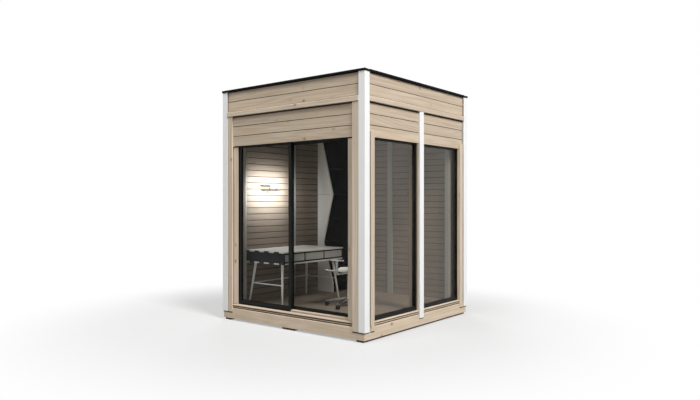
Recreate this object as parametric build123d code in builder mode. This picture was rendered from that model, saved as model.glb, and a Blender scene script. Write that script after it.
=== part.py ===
from build123d import *
import os

# A square timber garden house on runners. The glazed sliding door is in front,
# towards -Y, and two tall fixed windows are on the right, towards +X. Boarded
# walls close the other two sides. Lengths are millimetres, and the origin lies
# at ground level under the centre of the roof.

os.makedirs("parts", exist_ok=True)

# Driving sizes
base_side = 2322
total_height = 3000
wall_thickness = 138
post_width = 90
overrun = 50

# How far each layer stands in front of the base, or behind it
edge_overhang = 19
strip_proud = 16
post_proud = 11
board_proud = 7
sill_setback = 5
fascia_setback = 6
wall_setback = 13
lip_setback = 14
plinth_setback = 29
jamb_setback = 23
frame_setback = 31
window_setback = 38

base_face = base_side / 2
edge_face = base_face + edge_overhang
strip_face = base_face + strip_proud
post_face = base_face + post_proud
board_face = base_face + board_proud
sill_face = base_face - sill_setback
fascia_face = base_face - fascia_setback
wall_face = base_face - wall_setback
lip_face = base_face - lip_setback
plinth_face = base_face - plinth_setback
jamb_face = base_face - jamb_setback
frame_face = base_face - frame_setback
window_face = base_face - window_setback
room_face = wall_face - wall_thickness
room_side = 2 * room_face
post_edge = post_face - post_width
batten_half = post_width / 2

# Heights from the ground up
runner_height = 25
base_height = 132
plinth_height = 38
floor_underlay = 10
floor_thickness = 28
header_drop = 389
strip_height = 58
fascia_height = 264
edge_height = 25
strip_lap = 7
cover_lap = 45
ceiling_thickness = 20

base_top = runner_height + base_height
floor_foot = base_top + floor_underlay
floor_top = floor_foot + floor_thickness
wall_foot = base_top + plinth_height
edge_foot = total_height - edge_height
fascia_foot = edge_foot - fascia_height
strip_foot = fascia_foot - strip_height
wall_top = strip_foot + strip_lap
header_foot = strip_foot - header_drop
cover_foot = base_top - cover_lap
ceiling_foot = wall_top - ceiling_thickness

# Runners: one near each end and a pair under the middle
runner_width = 95
runner_inset = 27
runner_setback = 10
runner_pair_pitch = 105

runner_length = base_side - 2 * runner_setback
runner_outer_pitch = base_side - 2 * runner_inset - runner_width

with BuildPart() as runners:
    with BuildSketch():
        with GridLocations(runner_outer_pitch, 0, 2, 1):
            Rectangle(runner_width, runner_length)
        with GridLocations(runner_pair_pitch, 0, 2, 1):
            Rectangle(runner_width, runner_length)
    extrude(amount=runner_height)
runners.part.label = "runners"
export_step(runners.part, "parts/runners.step")

# Base: two long beams, two beams between them, and the floor frame inside
beam_thickness = 45

beam_pitch = base_side - beam_thickness
frame_side = base_side - 2 * beam_thickness

with BuildPart() as base_beams_long:
    with BuildSketch(Plane.XY.offset(runner_height)):
        with GridLocations(0, beam_pitch, 1, 2):
            Rectangle(base_side, beam_thickness)
    extrude(amount=base_height)
base_beams_long.part.label = "base_beams_long"
export_step(base_beams_long.part, "parts/base_beams_long.step")

with BuildPart() as base_beams_cross:
    with BuildSketch(Plane.XY.offset(runner_height)):
        with GridLocations(beam_pitch, 0, 2, 1):
            Rectangle(beam_thickness, frame_side)
    extrude(amount=base_height)
base_beams_cross.part.label = "base_beams_cross"
export_step(base_beams_cross.part, "parts/base_beams_cross.step")

with BuildPart() as floor_frame:
    with BuildSketch(Plane.XY.offset(runner_height)):
        Rectangle(frame_side, frame_side)
    extrude(amount=base_height)
    with BuildSketch(Plane.XY.offset(base_top)):
        Rectangle(room_side, room_side)
    extrude(amount=floor_underlay)
floor_frame.part.label = "floor_frame"
export_step(floor_frame.part, "parts/floor_frame.step")

with BuildPart() as floor_boards:
    with BuildSketch(Plane.XY.offset(floor_foot)):
        Rectangle(room_side, room_side)
    extrude(amount=floor_thickness)
floor_boards.part.label = "floor_boards"
export_step(floor_boards.part, "parts/floor_boards.step")

# Plinth: a recessed sole plate with a thin lip, under each wall
lip_rise = 14
lip_height = 10

lip_foot = base_top + lip_rise

with BuildPart() as plinth_strips:
    with BuildSketch(Plane.XY.offset(base_top)):
        with PolarLocations((plinth_face + room_face) / 2, 4):
            Rectangle(plinth_face - room_face, room_side)
    extrude(amount=plinth_height)
    with BuildSketch(Plane.XY.offset(lip_foot)):
        with PolarLocations((lip_face + room_face) / 2, 4):
            Rectangle(lip_face - room_face, room_side)
    extrude(amount=lip_height)
plinth_strips.part.label = "plinth_strips"
export_step(plinth_strips.part, "parts/plinth_strips.step")

# Walls: corner studs, and two boarded panels to each closed side
panel_joint = 2

panel_length = room_face - panel_joint / 2
panel_pitch = room_face + panel_joint / 2
wall_middle = (wall_face + room_face) / 2

with BuildPart() as corner_studs:
    with BuildSketch(Plane.XY.offset(base_top)):
        with GridLocations(2 * wall_middle, 2 * wall_middle, 2, 2):
            Rectangle(wall_thickness, wall_thickness)
    extrude(amount=wall_top - base_top)
corner_studs.part.label = "corner_studs"
export_step(corner_studs.part, "parts/corner_studs.step")

with BuildPart() as left_wall:
    with BuildSketch(Plane.XY.offset(wall_foot)):
        with Locations((-wall_middle, 0)):
            with GridLocations(0, panel_pitch, 1, 2):
                Rectangle(wall_thickness, panel_length)
    extrude(amount=wall_top - wall_foot)
left_wall.part.label = "left_wall"
export_step(left_wall.part, "parts/left_wall.step")

with BuildPart() as back_wall:
    with BuildSketch(Plane.XY.offset(wall_foot)):
        with Locations((0, wall_middle)):
            with GridLocations(panel_pitch, 0, 2, 1):
                Rectangle(panel_length, wall_thickness)
    extrude(amount=wall_top - wall_foot)
back_wall.part.label = "back_wall"
export_step(back_wall.part, "parts/back_wall.step")

# Headers over the door and over the windows; the door's frame lies in a rebate
head_height = 40

frame_depth = frame_face - room_face
frame_middle = (frame_face + room_face) / 2
head_top = header_foot + head_height

with BuildPart() as front_header:
    with BuildSketch(Plane.XY.offset(header_foot)):
        with Locations((0, -wall_middle)):
            Rectangle(room_side, wall_thickness)
    extrude(amount=wall_top - header_foot)
    with BuildSketch(Plane.XY.offset(header_foot - overrun)):
        with Locations((0, -frame_face)):
            Rectangle(room_side, frame_depth + overrun, align=(Align.CENTER, Align.MIN))
    extrude(amount=head_height + overrun, mode=Mode.SUBTRACT)
front_header.part.label = "front_header"
export_step(front_header.part, "parts/front_header.step")

with BuildPart() as right_header:
    with BuildSketch(Plane.XY.offset(header_foot)):
        with Locations((wall_middle, 0)):
            Rectangle(wall_thickness, room_side)
    extrude(amount=wall_top - header_foot)
right_header.part.label = "right_header"
export_step(right_header.part, "parts/right_header.step")

# Timber round the door: corner boards, jambs with a cover board, and the sill
jamb_cover = 82
jamb_board = frame_setback - jamb_setback
frame_reveal = 5
side_width = 40
side_depth = 48
sill_nose = 8
sill_height = 24
corner_board_width = 90

corner_board_edge = post_edge - corner_board_width
jamb_edge = corner_board_edge - jamb_cover
door_half = jamb_edge - frame_reveal
side_edge = door_half + side_width
reveal_depth = frame_depth - side_depth
sill_top = wall_foot + sill_height

with BuildPart() as front_corner_boards:
    with BuildSketch(Plane.XY.offset(cover_foot)):
        with Locations((corner_board_edge, -board_face)):
            Rectangle(corner_board_width, board_face - wall_face, align=(Align.MIN, Align.MIN))
    extrude(amount=strip_foot - cover_foot)
    with BuildSketch(Plane.XY.offset(cover_foot - overrun)):
        Rectangle(base_side, base_side)
    extrude(amount=cover_lap + overrun, mode=Mode.SUBTRACT)
    mirror(about=Plane.YZ)
front_corner_boards.part.label = "front_corner_boards"
export_step(front_corner_boards.part, "parts/front_corner_boards.step")

with BuildPart() as front_jambs:
    with BuildSketch(Plane.XY.offset(wall_foot)):
        with Locations((side_edge, -frame_face)):
            Rectangle(room_face - side_edge, frame_depth, align=(Align.MIN, Align.MIN))
        with Locations((door_half, -room_face)):
            Rectangle(room_face - door_half, reveal_depth, align=(Align.MIN, Align.MAX))
    extrude(amount=head_top - wall_foot)
    with BuildSketch(Plane.XY.offset(sill_top)):
        with Locations((jamb_edge, -frame_face)):
            Rectangle(room_face - jamb_edge, jamb_board, align=(Align.MIN, Align.MAX))
    extrude(amount=header_foot - sill_top)
    mirror(about=Plane.YZ)
front_jambs.part.label = "front_jambs"
export_step(front_jambs.part, "parts/front_jambs.step")

with BuildPart() as front_sill:
    with BuildSketch(Plane.YZ.offset(-corner_board_edge)):
        with BuildLine():
            Polyline(
                (-sill_face, wall_foot),
                (-frame_face, wall_foot),
                (-frame_face, sill_top),
                (-sill_face, wall_foot + sill_nose),
                close=True,
            )
        make_face()
    extrude(amount=2 * corner_board_edge)
front_sill.part.label = "front_sill"
export_step(front_sill.part, "parts/front_sill.step")

# Sliding door: head, side frames, a track with one rail for each leaf, and a threshold board
rail_width = 8
leaf_setback = 8
fixed_depth = 34
fixed_lap = 18
leaf_gap = 6
slide_depth = 38
rail_height = 12
slide_rise = 6
running_gap = 0.3
roller_height = 2
roller_length = 60
roller_share = 0.3
threshold_height = 25
threshold_fall = 6
threshold_joint = 2

fixed_foot = sill_top + rail_height
slide_foot = fixed_foot + slide_rise
fixed_face = frame_face - leaf_setback
fixed_middle = fixed_face - fixed_depth / 2
fixed_back = fixed_face - fixed_depth
fixed_width = door_half + fixed_lap
fixed_centre = (-door_half + fixed_lap) / 2
slide_face = fixed_back - leaf_gap
slide_middle = slide_face - slide_depth / 2
roller_foot = slide_foot - roller_height
rail_top = roller_foot - running_gap
threshold_top = sill_top + threshold_height
threshold_end = fixed_lap + threshold_joint

with BuildPart() as door_head:
    with BuildSketch(Plane.XY.offset(header_foot)):
        with Locations((0, -frame_middle)):
            Rectangle(2 * door_half, frame_depth)
    extrude(amount=head_height)
door_head.part.label = "door_head"
export_step(door_head.part, "parts/door_head.step")

with BuildPart() as door_side_frames:
    with BuildSketch(Plane.XY.offset(wall_foot)):
        with Locations((0, side_depth / 2 - frame_face)):
            with GridLocations(2 * door_half + side_width, 0, 2, 1):
                Rectangle(side_width, side_depth)
    extrude(amount=head_top - wall_foot)
door_side_frames.part.label = "door_side_frames"
export_step(door_side_frames.part, "parts/door_side_frames.step")

with BuildPart() as door_track:
    with BuildSketch(Plane.XY.offset(wall_foot)):
        with Locations((0, -frame_middle)):
            Rectangle(2 * door_half, frame_depth)
    extrude(amount=sill_height)
    with BuildSketch(Plane.XY.offset(sill_top)):
        with Locations((fixed_centre, -fixed_middle)):
            Rectangle(fixed_width, rail_width)
    extrude(amount=fixed_foot - sill_top)
    with BuildSketch(Plane.XY.offset(sill_top)):
        with Locations((0, -slide_middle)):
            Rectangle(2 * door_half, rail_width)
    extrude(amount=rail_top - sill_top)
door_track.part.label = "door_track"
export_step(door_track.part, "parts/door_track.step")

with BuildPart() as threshold_board:
    with BuildSketch(Plane.YZ.offset(threshold_end)):
        with BuildLine():
            Polyline(
                (-frame_face, sill_top),
                (-fixed_back, sill_top),
                (-fixed_back, threshold_top),
                (-frame_face, threshold_top - threshold_fall),
                close=True,
            )
        make_face()
    extrude(amount=door_half - threshold_end)
threshold_board.part.label = "threshold_board"
export_step(threshold_board.part, "parts/threshold_board.step")

# Leaves: the left one is fixed in the outer track, the right one slides inside
fixed_stile = 38
fixed_rail = 41
fixed_head = 22
slide_stile = 31
slide_rail = 35
slide_head = 22
slide_lap = 34
side_clearance = 5
head_clearance = 6
pane_thickness = 24

fixed_height = header_foot - fixed_foot
fixed_level = (fixed_foot + header_foot) / 2
fixed_pane_width = fixed_width - 2 * fixed_stile
fixed_pane_height = fixed_height - fixed_rail - fixed_head
fixed_pane_level = fixed_level + (fixed_rail - fixed_head) / 2
slide_width = door_half - side_clearance + slide_lap
slide_height = header_foot - head_clearance - slide_foot
slide_centre = (door_half - side_clearance - slide_lap) / 2
slide_level = slide_foot + slide_height / 2
slide_pane_width = slide_width - 2 * slide_stile
slide_pane_height = slide_height - slide_rail - slide_head
slide_pane_level = slide_level + (slide_rail - slide_head) / 2

with BuildPart() as fixed_leaf_frame:
    with BuildSketch(Plane.XZ.offset(fixed_back)):
        with Locations((fixed_centre, fixed_level)):
            Rectangle(fixed_width, fixed_height)
        with Locations((fixed_centre, fixed_pane_level)):
            Rectangle(fixed_pane_width, fixed_pane_height, mode=Mode.SUBTRACT)
    extrude(amount=fixed_depth)
fixed_leaf_frame.part.label = "fixed_leaf_frame"
export_step(fixed_leaf_frame.part, "parts/fixed_leaf_frame.step")

with BuildPart() as fixed_leaf_glass:
    with BuildSketch(Plane.XZ.offset(fixed_middle)):
        with Locations((fixed_centre, fixed_pane_level)):
            Rectangle(fixed_pane_width, fixed_pane_height)
    extrude(amount=pane_thickness / 2, both=True)
fixed_leaf_glass.part.label = "fixed_leaf_glass"
export_step(fixed_leaf_glass.part, "parts/fixed_leaf_glass.step")

with BuildPart() as sliding_leaf_frame:
    with BuildSketch(Plane.XZ.offset(slide_face - slide_depth)):
        with Locations((slide_centre, slide_level)):
            Rectangle(slide_width, slide_height)
        with Locations((slide_centre, slide_pane_level)):
            Rectangle(slide_pane_width, slide_pane_height, mode=Mode.SUBTRACT)
    extrude(amount=slide_depth)
    with BuildSketch(Plane.XY.offset(roller_foot)):
        with Locations((slide_centre, -slide_middle)):
            with GridLocations(2 * roller_share * slide_width, 0, 2, 1):
                Rectangle(roller_length, rail_width)
    extrude(amount=roller_height)
sliding_leaf_frame.part.label = "sliding_leaf_frame"
export_step(sliding_leaf_frame.part, "parts/sliding_leaf_frame.step")

with BuildPart() as sliding_leaf_glass:
    with BuildSketch(Plane.XZ.offset(slide_middle)):
        with Locations((slide_centre, slide_pane_level)):
            Rectangle(slide_pane_width, slide_pane_height)
    extrude(amount=pane_thickness / 2, both=True)
sliding_leaf_glass.part.label = "sliding_leaf_glass"
export_step(sliding_leaf_glass.part, "parts/sliding_leaf_glass.step")

# Windows: mullion, casings with a return into the reveal, sills, frames and panes
casing_gap = 27
casing_width = 71
casing_rise = 61
window_sill_height = 14
window_depth = 48
window_stile = 32
window_rail = 41
window_head = 19
pane_setback = 14

casing_outer = post_edge - casing_gap
casing_edge = casing_outer - casing_width
window_foot = wall_foot + window_sill_height
window_width = room_face - batten_half
window_height = header_foot - window_foot
window_centre = (room_face + batten_half) / 2
window_level = (window_foot + header_foot) / 2
window_pane_width = window_width - 2 * window_stile
window_pane_height = window_height - window_rail - window_head
window_pane_level = window_level + (window_rail - window_head) / 2

with BuildPart() as window_mullion:
    with BuildSketch(Plane.XY.offset(wall_foot)):
        with Locations((wall_middle, 0)):
            Rectangle(wall_thickness, post_width)
    extrude(amount=header_foot - wall_foot)
window_mullion.part.label = "window_mullion"
export_step(window_mullion.part, "parts/window_mullion.step")

with BuildPart() as window_casings:
    with BuildSketch(Plane.XY.offset(cover_foot)):
        with Locations((wall_face, -casing_outer)):
            Rectangle(board_face - wall_face, casing_width, align=(Align.MIN, Align.MIN))
    extrude(amount=header_foot + casing_rise - cover_foot)
    with BuildSketch(Plane.XY.offset(cover_foot - overrun)):
        Rectangle(base_side, base_side)
    extrude(amount=cover_lap + overrun, mode=Mode.SUBTRACT)
    with BuildSketch(Plane.XY.offset(wall_foot)):
        with Locations((window_face, -room_face)):
            Rectangle(
                wall_face - window_face,
                room_face - casing_edge,
                align=(Align.MIN, Align.MIN),
            )
    extrude(amount=header_foot - wall_foot)
    mirror(about=Plane.XZ)
window_casings.part.label = "window_casings"
export_step(window_casings.part, "parts/window_casings.step")

with BuildPart() as window_sills:
    with BuildSketch(Plane.XZ.offset(batten_half)):
        with BuildLine():
            Polyline(
                (window_face, wall_foot),
                (sill_face, wall_foot),
                (sill_face, wall_foot + sill_nose),
                (window_face, window_foot),
                close=True,
            )
        make_face()
    extrude(amount=casing_edge - batten_half)
    mirror(about=Plane.XZ)
window_sills.part.label = "window_sills"
export_step(window_sills.part, "parts/window_sills.step")

with BuildPart() as window_frames:
    with BuildSketch(Plane.YZ.offset(window_face - window_depth)):
        with Locations((-window_centre, window_level)):
            Rectangle(window_width, window_height)
        with Locations((-window_centre, window_pane_level)):
            Rectangle(window_pane_width, window_pane_height, mode=Mode.SUBTRACT)
    extrude(amount=window_depth)
    mirror(about=Plane.XZ)
window_frames.part.label = "window_frames"
export_step(window_frames.part, "parts/window_frames.step")

with BuildPart() as window_panes:
    with BuildSketch(Plane.YZ.offset(window_face - pane_setback - pane_thickness)):
        with Locations((-window_centre, window_pane_level)):
            Rectangle(window_pane_width, window_pane_height)
    extrude(amount=pane_thickness)
    mirror(about=Plane.XZ)
window_panes.part.label = "window_panes"
export_step(window_panes.part, "parts/window_panes.step")

# White posts at the corners and white battens over the middle of three sides
with BuildPart() as corner_posts:
    with BuildSketch(Plane.XY.offset(cover_foot)):
        with Locations((post_face, post_face)):
            Rectangle(post_width, post_width, align=(Align.MAX, Align.MAX))
        with Locations((wall_face, wall_face)):
            Rectangle(
                post_width,
                post_width,
                align=(Align.MAX, Align.MAX),
                mode=Mode.SUBTRACT,
            )
    extrude(amount=edge_foot - cover_foot)
    with BuildSketch(Plane.XY.offset(cover_foot - overrun)):
        Rectangle(base_side, base_side)
    extrude(amount=cover_lap + overrun, mode=Mode.SUBTRACT)
    mirror(about=Plane.XZ)
    mirror(about=Plane.YZ)
corner_posts.part.label = "corner_posts"
export_step(corner_posts.part, "parts/corner_posts.step")

batten_depth = post_face - wall_face
batten_middle = (post_face + wall_face) / 2

with BuildPart() as outer_battens:
    with BuildSketch(Plane.XY.offset(cover_foot)):
        with PolarLocations(batten_middle, 3, start_angle=0, angular_range=270):
            Rectangle(batten_depth, post_width)
    extrude(amount=strip_foot - cover_foot)
    with BuildSketch(Plane.XY.offset(cover_foot - overrun)):
        Rectangle(base_side, base_side)
    extrude(amount=cover_lap + overrun, mode=Mode.SUBTRACT)
outer_battens.part.label = "outer_battens"
export_step(outer_battens.part, "parts/outer_battens.step")

inner_batten_depth = 12
inner_post_width = 60

with BuildPart() as inner_posts:
    with BuildSketch(Plane.XY.offset(floor_top)):
        with GridLocations(room_side - inner_post_width, room_side - inner_post_width, 2, 2):
            Rectangle(inner_post_width, inner_post_width)
        with Locations((-room_face, 0)):
            Rectangle(inner_batten_depth, post_width, align=(Align.MIN, Align.CENTER))
        with Locations((0, room_face)):
            Rectangle(post_width, inner_batten_depth, align=(Align.CENTER, Align.MAX))
    extrude(amount=ceiling_foot - floor_top)
inner_posts.part.label = "inner_posts"
export_step(inner_posts.part, "parts/inner_posts.step")

# Roof: ceiling, deck, a membrane turned up at the kerb, fascia and edge trim
fascia_thickness = 25
membrane_thickness = 8
kerb_width = 40
kerb_height = 25
edge_width = 90
edge_slope = 6
edge_joint = 1

fascia_middle = fascia_face - fascia_thickness / 2
deck_side = 2 * (fascia_face - fascia_thickness)
deck_top = edge_foot - kerb_height
strip_depth = strip_face - wall_face
edge_inner = edge_face - edge_width

with BuildPart() as ceiling:
    with BuildSketch(Plane.XY.offset(ceiling_foot)):
        Rectangle(room_side, room_side)
    extrude(amount=ceiling_thickness)
ceiling.part.label = "ceiling"
export_step(ceiling.part, "parts/ceiling.step")

with BuildPart() as roof_deck:
    with BuildSketch(Plane.XY.offset(wall_top)):
        Rectangle(deck_side, deck_side)
    extrude(amount=deck_top - wall_top)
roof_deck.part.label = "roof_deck"
export_step(roof_deck.part, "parts/roof_deck.step")

with BuildPart() as roof_membrane:
    with BuildSketch(Plane.XY.offset(deck_top)):
        Rectangle(deck_side, deck_side)
    extrude(amount=kerb_height)
    with BuildSketch(Plane.XY.offset(deck_top + membrane_thickness)):
        Rectangle(deck_side - 2 * kerb_width, deck_side - 2 * kerb_width)
    extrude(amount=kerb_height, mode=Mode.SUBTRACT)
roof_membrane.part.label = "roof_membrane"
export_step(roof_membrane.part, "parts/roof_membrane.step")

with BuildPart() as fascia_boards:
    with BuildSketch(Plane.XY.offset(fascia_foot)):
        with PolarLocations(fascia_middle, 4):
            Rectangle(fascia_thickness, 2 * post_edge)
    extrude(amount=fascia_height)
fascia_boards.part.label = "fascia_boards"
export_step(fascia_boards.part, "parts/fascia_boards.step")

with BuildPart() as drip_strips:
    with BuildSketch(Plane.XY.offset(strip_foot)):
        with PolarLocations((strip_face + wall_face) / 2, 4):
            Rectangle(strip_depth, 2 * post_edge)
    extrude(amount=strip_height)
drip_strips.part.label = "drip_strips"
export_step(drip_strips.part, "parts/drip_strips.step")

with BuildPart() as roof_edge:
    with BuildSketch(Plane.YZ.offset(-edge_face)):
        with BuildLine():
            Polyline(
                (-edge_face, edge_foot),
                (-edge_inner, edge_foot),
                (-edge_inner, total_height - edge_slope),
                (-edge_face, total_height),
                close=True,
            )
        make_face()
    extrude(amount=2 * edge_face)
    mirror(about=Plane.XZ)
    with BuildSketch(Plane.XZ.offset(-edge_inner + edge_joint)):
        with BuildLine():
            Polyline(
                (edge_face, edge_foot),
                (edge_inner, edge_foot),
                (edge_inner, total_height - edge_slope),
                (edge_face, total_height),
                close=True,
            )
        make_face()
    extrude(amount=2 * (edge_inner - edge_joint))
    mirror(about=Plane.YZ)
roof_edge.part.label = "roof_edge"
export_step(roof_edge.part, "parts/roof_edge.step")

# Shelf unit in the far left corner, and the desk between it and the door
shelf_length = 400
shelf_post_gap = 10
desk_shelf_gap = 305
desk_door_gap = 65

shelf_far = room_face - inner_post_width - shelf_post_gap
shelf_near = shelf_far - shelf_length
desk_near = -room_face + desk_door_gap
desk_far = shelf_near - desk_shelf_gap
desk_length = desk_far - desk_near
desk_y = (desk_near + desk_far) / 2

# Desk along the left wall: a dark case box-jointed to two white boards, drawer fronts and legs
desk_depth = 726
desk_height = 710
desk_wall_gap = 2
desk_board = 16
desk_case_height = 129
desk_case_inset = 6
joint_depth = 16
joint_pairs = 4
drawer_count = 3
drawer_margin = 20
drawer_gap = 8
drawer_front = 12
drawer_height = 104
drawer_play = 2
leg_inset_x = 118
leg_inset_y = 92
leg_splay = 62
leg_top_radius = 18
leg_foot_radius = 11
leg_facets = 8
stretcher_radius = 7
stretcher_height = 275

desk_back = -room_face + inner_batten_depth + desk_wall_gap
desk_front = desk_back + desk_depth
desk_x = (desk_back + desk_front) / 2
desk_top = floor_top + desk_height
case_top = desk_top - desk_board
case_foot = case_top - desk_case_height
leg_top = case_foot - desk_board
case_front = desk_front - desk_case_inset
tab_width = desk_depth / (2 * joint_pairs)
tab_pitch = 2 * tab_width
tab_reach = desk_length - joint_depth
drawer_pitch = (desk_length - 2 * drawer_margin + drawer_gap) / drawer_count
drawer_length = drawer_pitch - drawer_gap
drawer_level = (case_top + case_foot) / 2
leg_x = desk_depth / 2 - leg_inset_x
leg_y = desk_length / 2 - leg_inset_y
stretcher_level = floor_top + stretcher_height
stretcher_share = (leg_top - stretcher_level) / (leg_top - floor_top)
stretcher_x = leg_x + leg_splay * stretcher_share
stretcher_y = leg_y + leg_splay * stretcher_share

with BuildPart() as desk_boards:
    with BuildSketch(Plane.XY.offset(case_top)):
        with Locations((desk_x, desk_y)):
            Rectangle(desk_depth, desk_length)
        with Locations((desk_x - tab_width / 2, desk_y)):
            with GridLocations(tab_pitch, tab_reach, joint_pairs, 2):
                Rectangle(tab_width, joint_depth, mode=Mode.SUBTRACT)
    extrude(amount=desk_board)
    with BuildSketch(Plane.XY.offset(leg_top)):
        with Locations((desk_x, desk_y)):
            Rectangle(desk_depth, desk_length)
        with Locations((desk_x + tab_width / 2, desk_y)):
            with GridLocations(tab_pitch, tab_reach, joint_pairs, 2):
                Rectangle(tab_width, joint_depth, mode=Mode.SUBTRACT)
    extrude(amount=desk_board)
desk_boards.part.label = "desk_boards"
export_step(desk_boards.part, "parts/desk_boards.step")

with BuildPart() as desk_case:
    with BuildSketch(Plane.XY.offset(case_foot)):
        with Locations((case_front, desk_y)):
            Rectangle(case_front - desk_back, desk_length, align=(Align.MAX, Align.CENTER))
    extrude(amount=desk_case_height)
    with BuildSketch(Plane.XY.offset(case_top)):
        with Locations((desk_x - tab_width / 2, desk_y)):
            with GridLocations(tab_pitch, tab_reach, joint_pairs, 2):
                Rectangle(tab_width, joint_depth)
    extrude(amount=desk_board)
    with BuildSketch(Plane.XY.offset(leg_top)):
        with Locations((desk_x + tab_width / 2, desk_y)):
            with GridLocations(tab_pitch, tab_reach, joint_pairs, 2):
                Rectangle(tab_width, joint_depth)
    extrude(amount=desk_board)
    with BuildSketch(Plane.YZ.offset(case_front - drawer_front)):
        with Locations((desk_y, drawer_level)):
            with GridLocations(drawer_pitch, 0, drawer_count, 1):
                Rectangle(drawer_length, drawer_height)
    extrude(amount=drawer_front + overrun, mode=Mode.SUBTRACT)
desk_case.part.label = "desk_case"
export_step(desk_case.part, "parts/desk_case.step")

with BuildPart() as desk_drawer_fronts:
    with BuildSketch(Plane.YZ.offset(case_front - drawer_front)):
        with Locations((desk_y, drawer_level)):
            with GridLocations(drawer_pitch, 0, drawer_count, 1):
                Rectangle(drawer_length - 2 * drawer_play, drawer_height - 2 * drawer_play)
    extrude(amount=drawer_front)
desk_drawer_fronts.part.label = "desk_drawer_fronts"
export_step(desk_drawer_fronts.part, "parts/desk_drawer_fronts.step")

with BuildPart() as desk_legs:
    with BuildSketch(Plane.XY.offset(leg_top)):
        with Locations((desk_x + leg_x, desk_y - leg_y)):
            RegularPolygon(leg_top_radius, leg_facets)
    with BuildSketch(Plane.XY.offset(floor_top)):
        with Locations((desk_x + leg_x + leg_splay, desk_y - leg_y - leg_splay)):
            RegularPolygon(leg_foot_radius, leg_facets)
    loft(ruled=True)
    mirror(about=Plane.YZ.offset(desk_x))
    mirror(about=Plane.XZ.offset(-desk_y))
    with BuildSketch(Plane.YZ.offset(desk_x - stretcher_x)):
        with Locations((desk_y, stretcher_level)):
            with GridLocations(2 * stretcher_y, 0, 2, 1):
                Circle(stretcher_radius)
    extrude(amount=2 * stretcher_x)
    with BuildSketch(Plane.XZ.offset(-desk_y - stretcher_y)):
        with Locations((desk_x - stretcher_x, stretcher_level)):
            Circle(stretcher_radius)
    extrude(amount=2 * stretcher_y)
desk_legs.part.label = "desk_legs"
export_step(desk_legs.part, "parts/desk_legs.step")

# Office chair that faces the desk: a bent shell on a strap, a column and a star base
chair_gap = 510
chair_shift = 75
seat_height = 455
seat_width = 450
seat_front = 250
seat_rear = 175
back_lean = 85
back_height = 345
shell_thickness = 16
shell_bend = 80
shell_corner = 70
strap_thickness = 14
strap_width = 34
strap_gap = 12
arm_height = 165
arm_length = 230
arm_thickness = 18
arm_width = 38
column_radius = 24
hub_radius = 40
hub_height = 50
star_count = 5
star_radius = 285
star_turn = 64
star_root_width = 38
star_root_height = 34
star_tip_width = 24
star_tip_height = 18
boss_radius = 13
castor_radius = 27
castor_width = 44
stem_radius = 6
stem_rise = 6

chair_x = desk_front + chair_gap
chair_y = desk_y + chair_shift
pan_level = floor_top + seat_height - shell_thickness / 2
strap_top = pan_level - shell_thickness / 2
boss_foot = floor_top + 2 * castor_radius + stem_rise
star_level = boss_foot + star_tip_height / 2
hub_top = boss_foot + hub_height
strap_half = seat_width / 2 + strap_gap + strap_thickness / 2

with BuildPart() as chair_shell:
    with BuildSketch(Plane.XZ.offset(-chair_y - seat_width / 2)):
        with BuildLine():
            FilletPolyline(
                (chair_x - seat_front, pan_level),
                (chair_x + seat_rear, pan_level),
                (chair_x + seat_rear + back_lean, pan_level + back_height),
                radius=shell_bend,
            )
        trace(line_width=shell_thickness)
    extrude(amount=seat_width)
    with BuildSketch(Plane.XY.offset(strap_top - overrun)):
        with Locations((chair_x - seat_front, chair_y)):
            RectangleRounded(
                seat_front + seat_rear + back_lean + overrun,
                seat_width,
                shell_corner,
                align=(Align.MIN, Align.CENTER),
            )
    extrude(amount=back_height + 2 * overrun, mode=Mode.INTERSECT)
    with BuildSketch(Plane.YZ.offset(chair_x - seat_front - overrun)):
        with Locations((chair_y, pan_level + back_height)):
            RectangleRounded(
                seat_width,
                2 * back_height,
                shell_corner,
                align=(Align.CENTER, Align.MAX),
            )
    extrude(amount=seat_front + seat_rear + back_lean + 2 * overrun, mode=Mode.INTERSECT)
chair_shell.part.label = "chair_shell"
export_step(chair_shell.part, "parts/chair_shell.step")

with BuildPart() as star_leg:
    with BuildSketch(Plane((hub_radius / 2, 0, star_level + star_root_height), z_dir=(1, 0, 0))):
        Rectangle(star_root_height, star_root_width)
    with BuildSketch(Plane((star_radius, 0, star_level), z_dir=(1, 0, 0))):
        Rectangle(star_tip_height, star_tip_width)
    loft()
    with BuildSketch(Plane.XY.offset(boss_foot)):
        with Locations((star_radius, 0)):
            Circle(boss_radius)
    extrude(amount=star_tip_height)

with BuildPart() as castor:
    with BuildSketch(Plane.XZ):
        with Locations((star_radius, floor_top + castor_radius)):
            Circle(castor_radius)
    extrude(amount=castor_width / 2, both=True)
    with BuildSketch(Plane.XY.offset(floor_top + castor_radius)):
        with Locations((star_radius, 0)):
            Circle(stem_radius)
    extrude(amount=castor_radius + stem_rise)

with BuildPart() as chair_frame:
    with BuildSketch(Plane.XY.offset(boss_foot)):
        with Locations((chair_x, chair_y)):
            Circle(hub_radius)
    extrude(amount=hub_height)
    with BuildSketch(Plane.XY.offset(hub_top)):
        with Locations((chair_x, chair_y)):
            Circle(column_radius)
    extrude(amount=strap_top - hub_top)
    with BuildSketch(Plane.YZ.offset(chair_x - strap_width / 2)):
        with Locations((chair_y, strap_top)):
            Rectangle(
                2 * strap_half + strap_thickness,
                strap_thickness,
                align=(Align.CENTER, Align.MAX),
            )
        with Locations((chair_y, strap_top - strap_thickness)):
            with GridLocations(2 * strap_half, 0, 2, 1):
                Rectangle(
                    strap_thickness,
                    arm_height + strap_thickness,
                    align=(Align.CENTER, Align.MIN),
                )
    extrude(amount=strap_width)
    with BuildSketch(Plane.XY.offset(strap_top + arm_height)):
        with Locations((chair_x, chair_y)):
            with GridLocations(0, 2 * strap_half, 1, 2):
                SlotOverall(arm_length, arm_width)
    extrude(amount=arm_thickness)
    with Locations((chair_x, chair_y)):
        with PolarLocations(0, star_count, start_angle=star_turn):
            add(star_leg.part)
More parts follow.
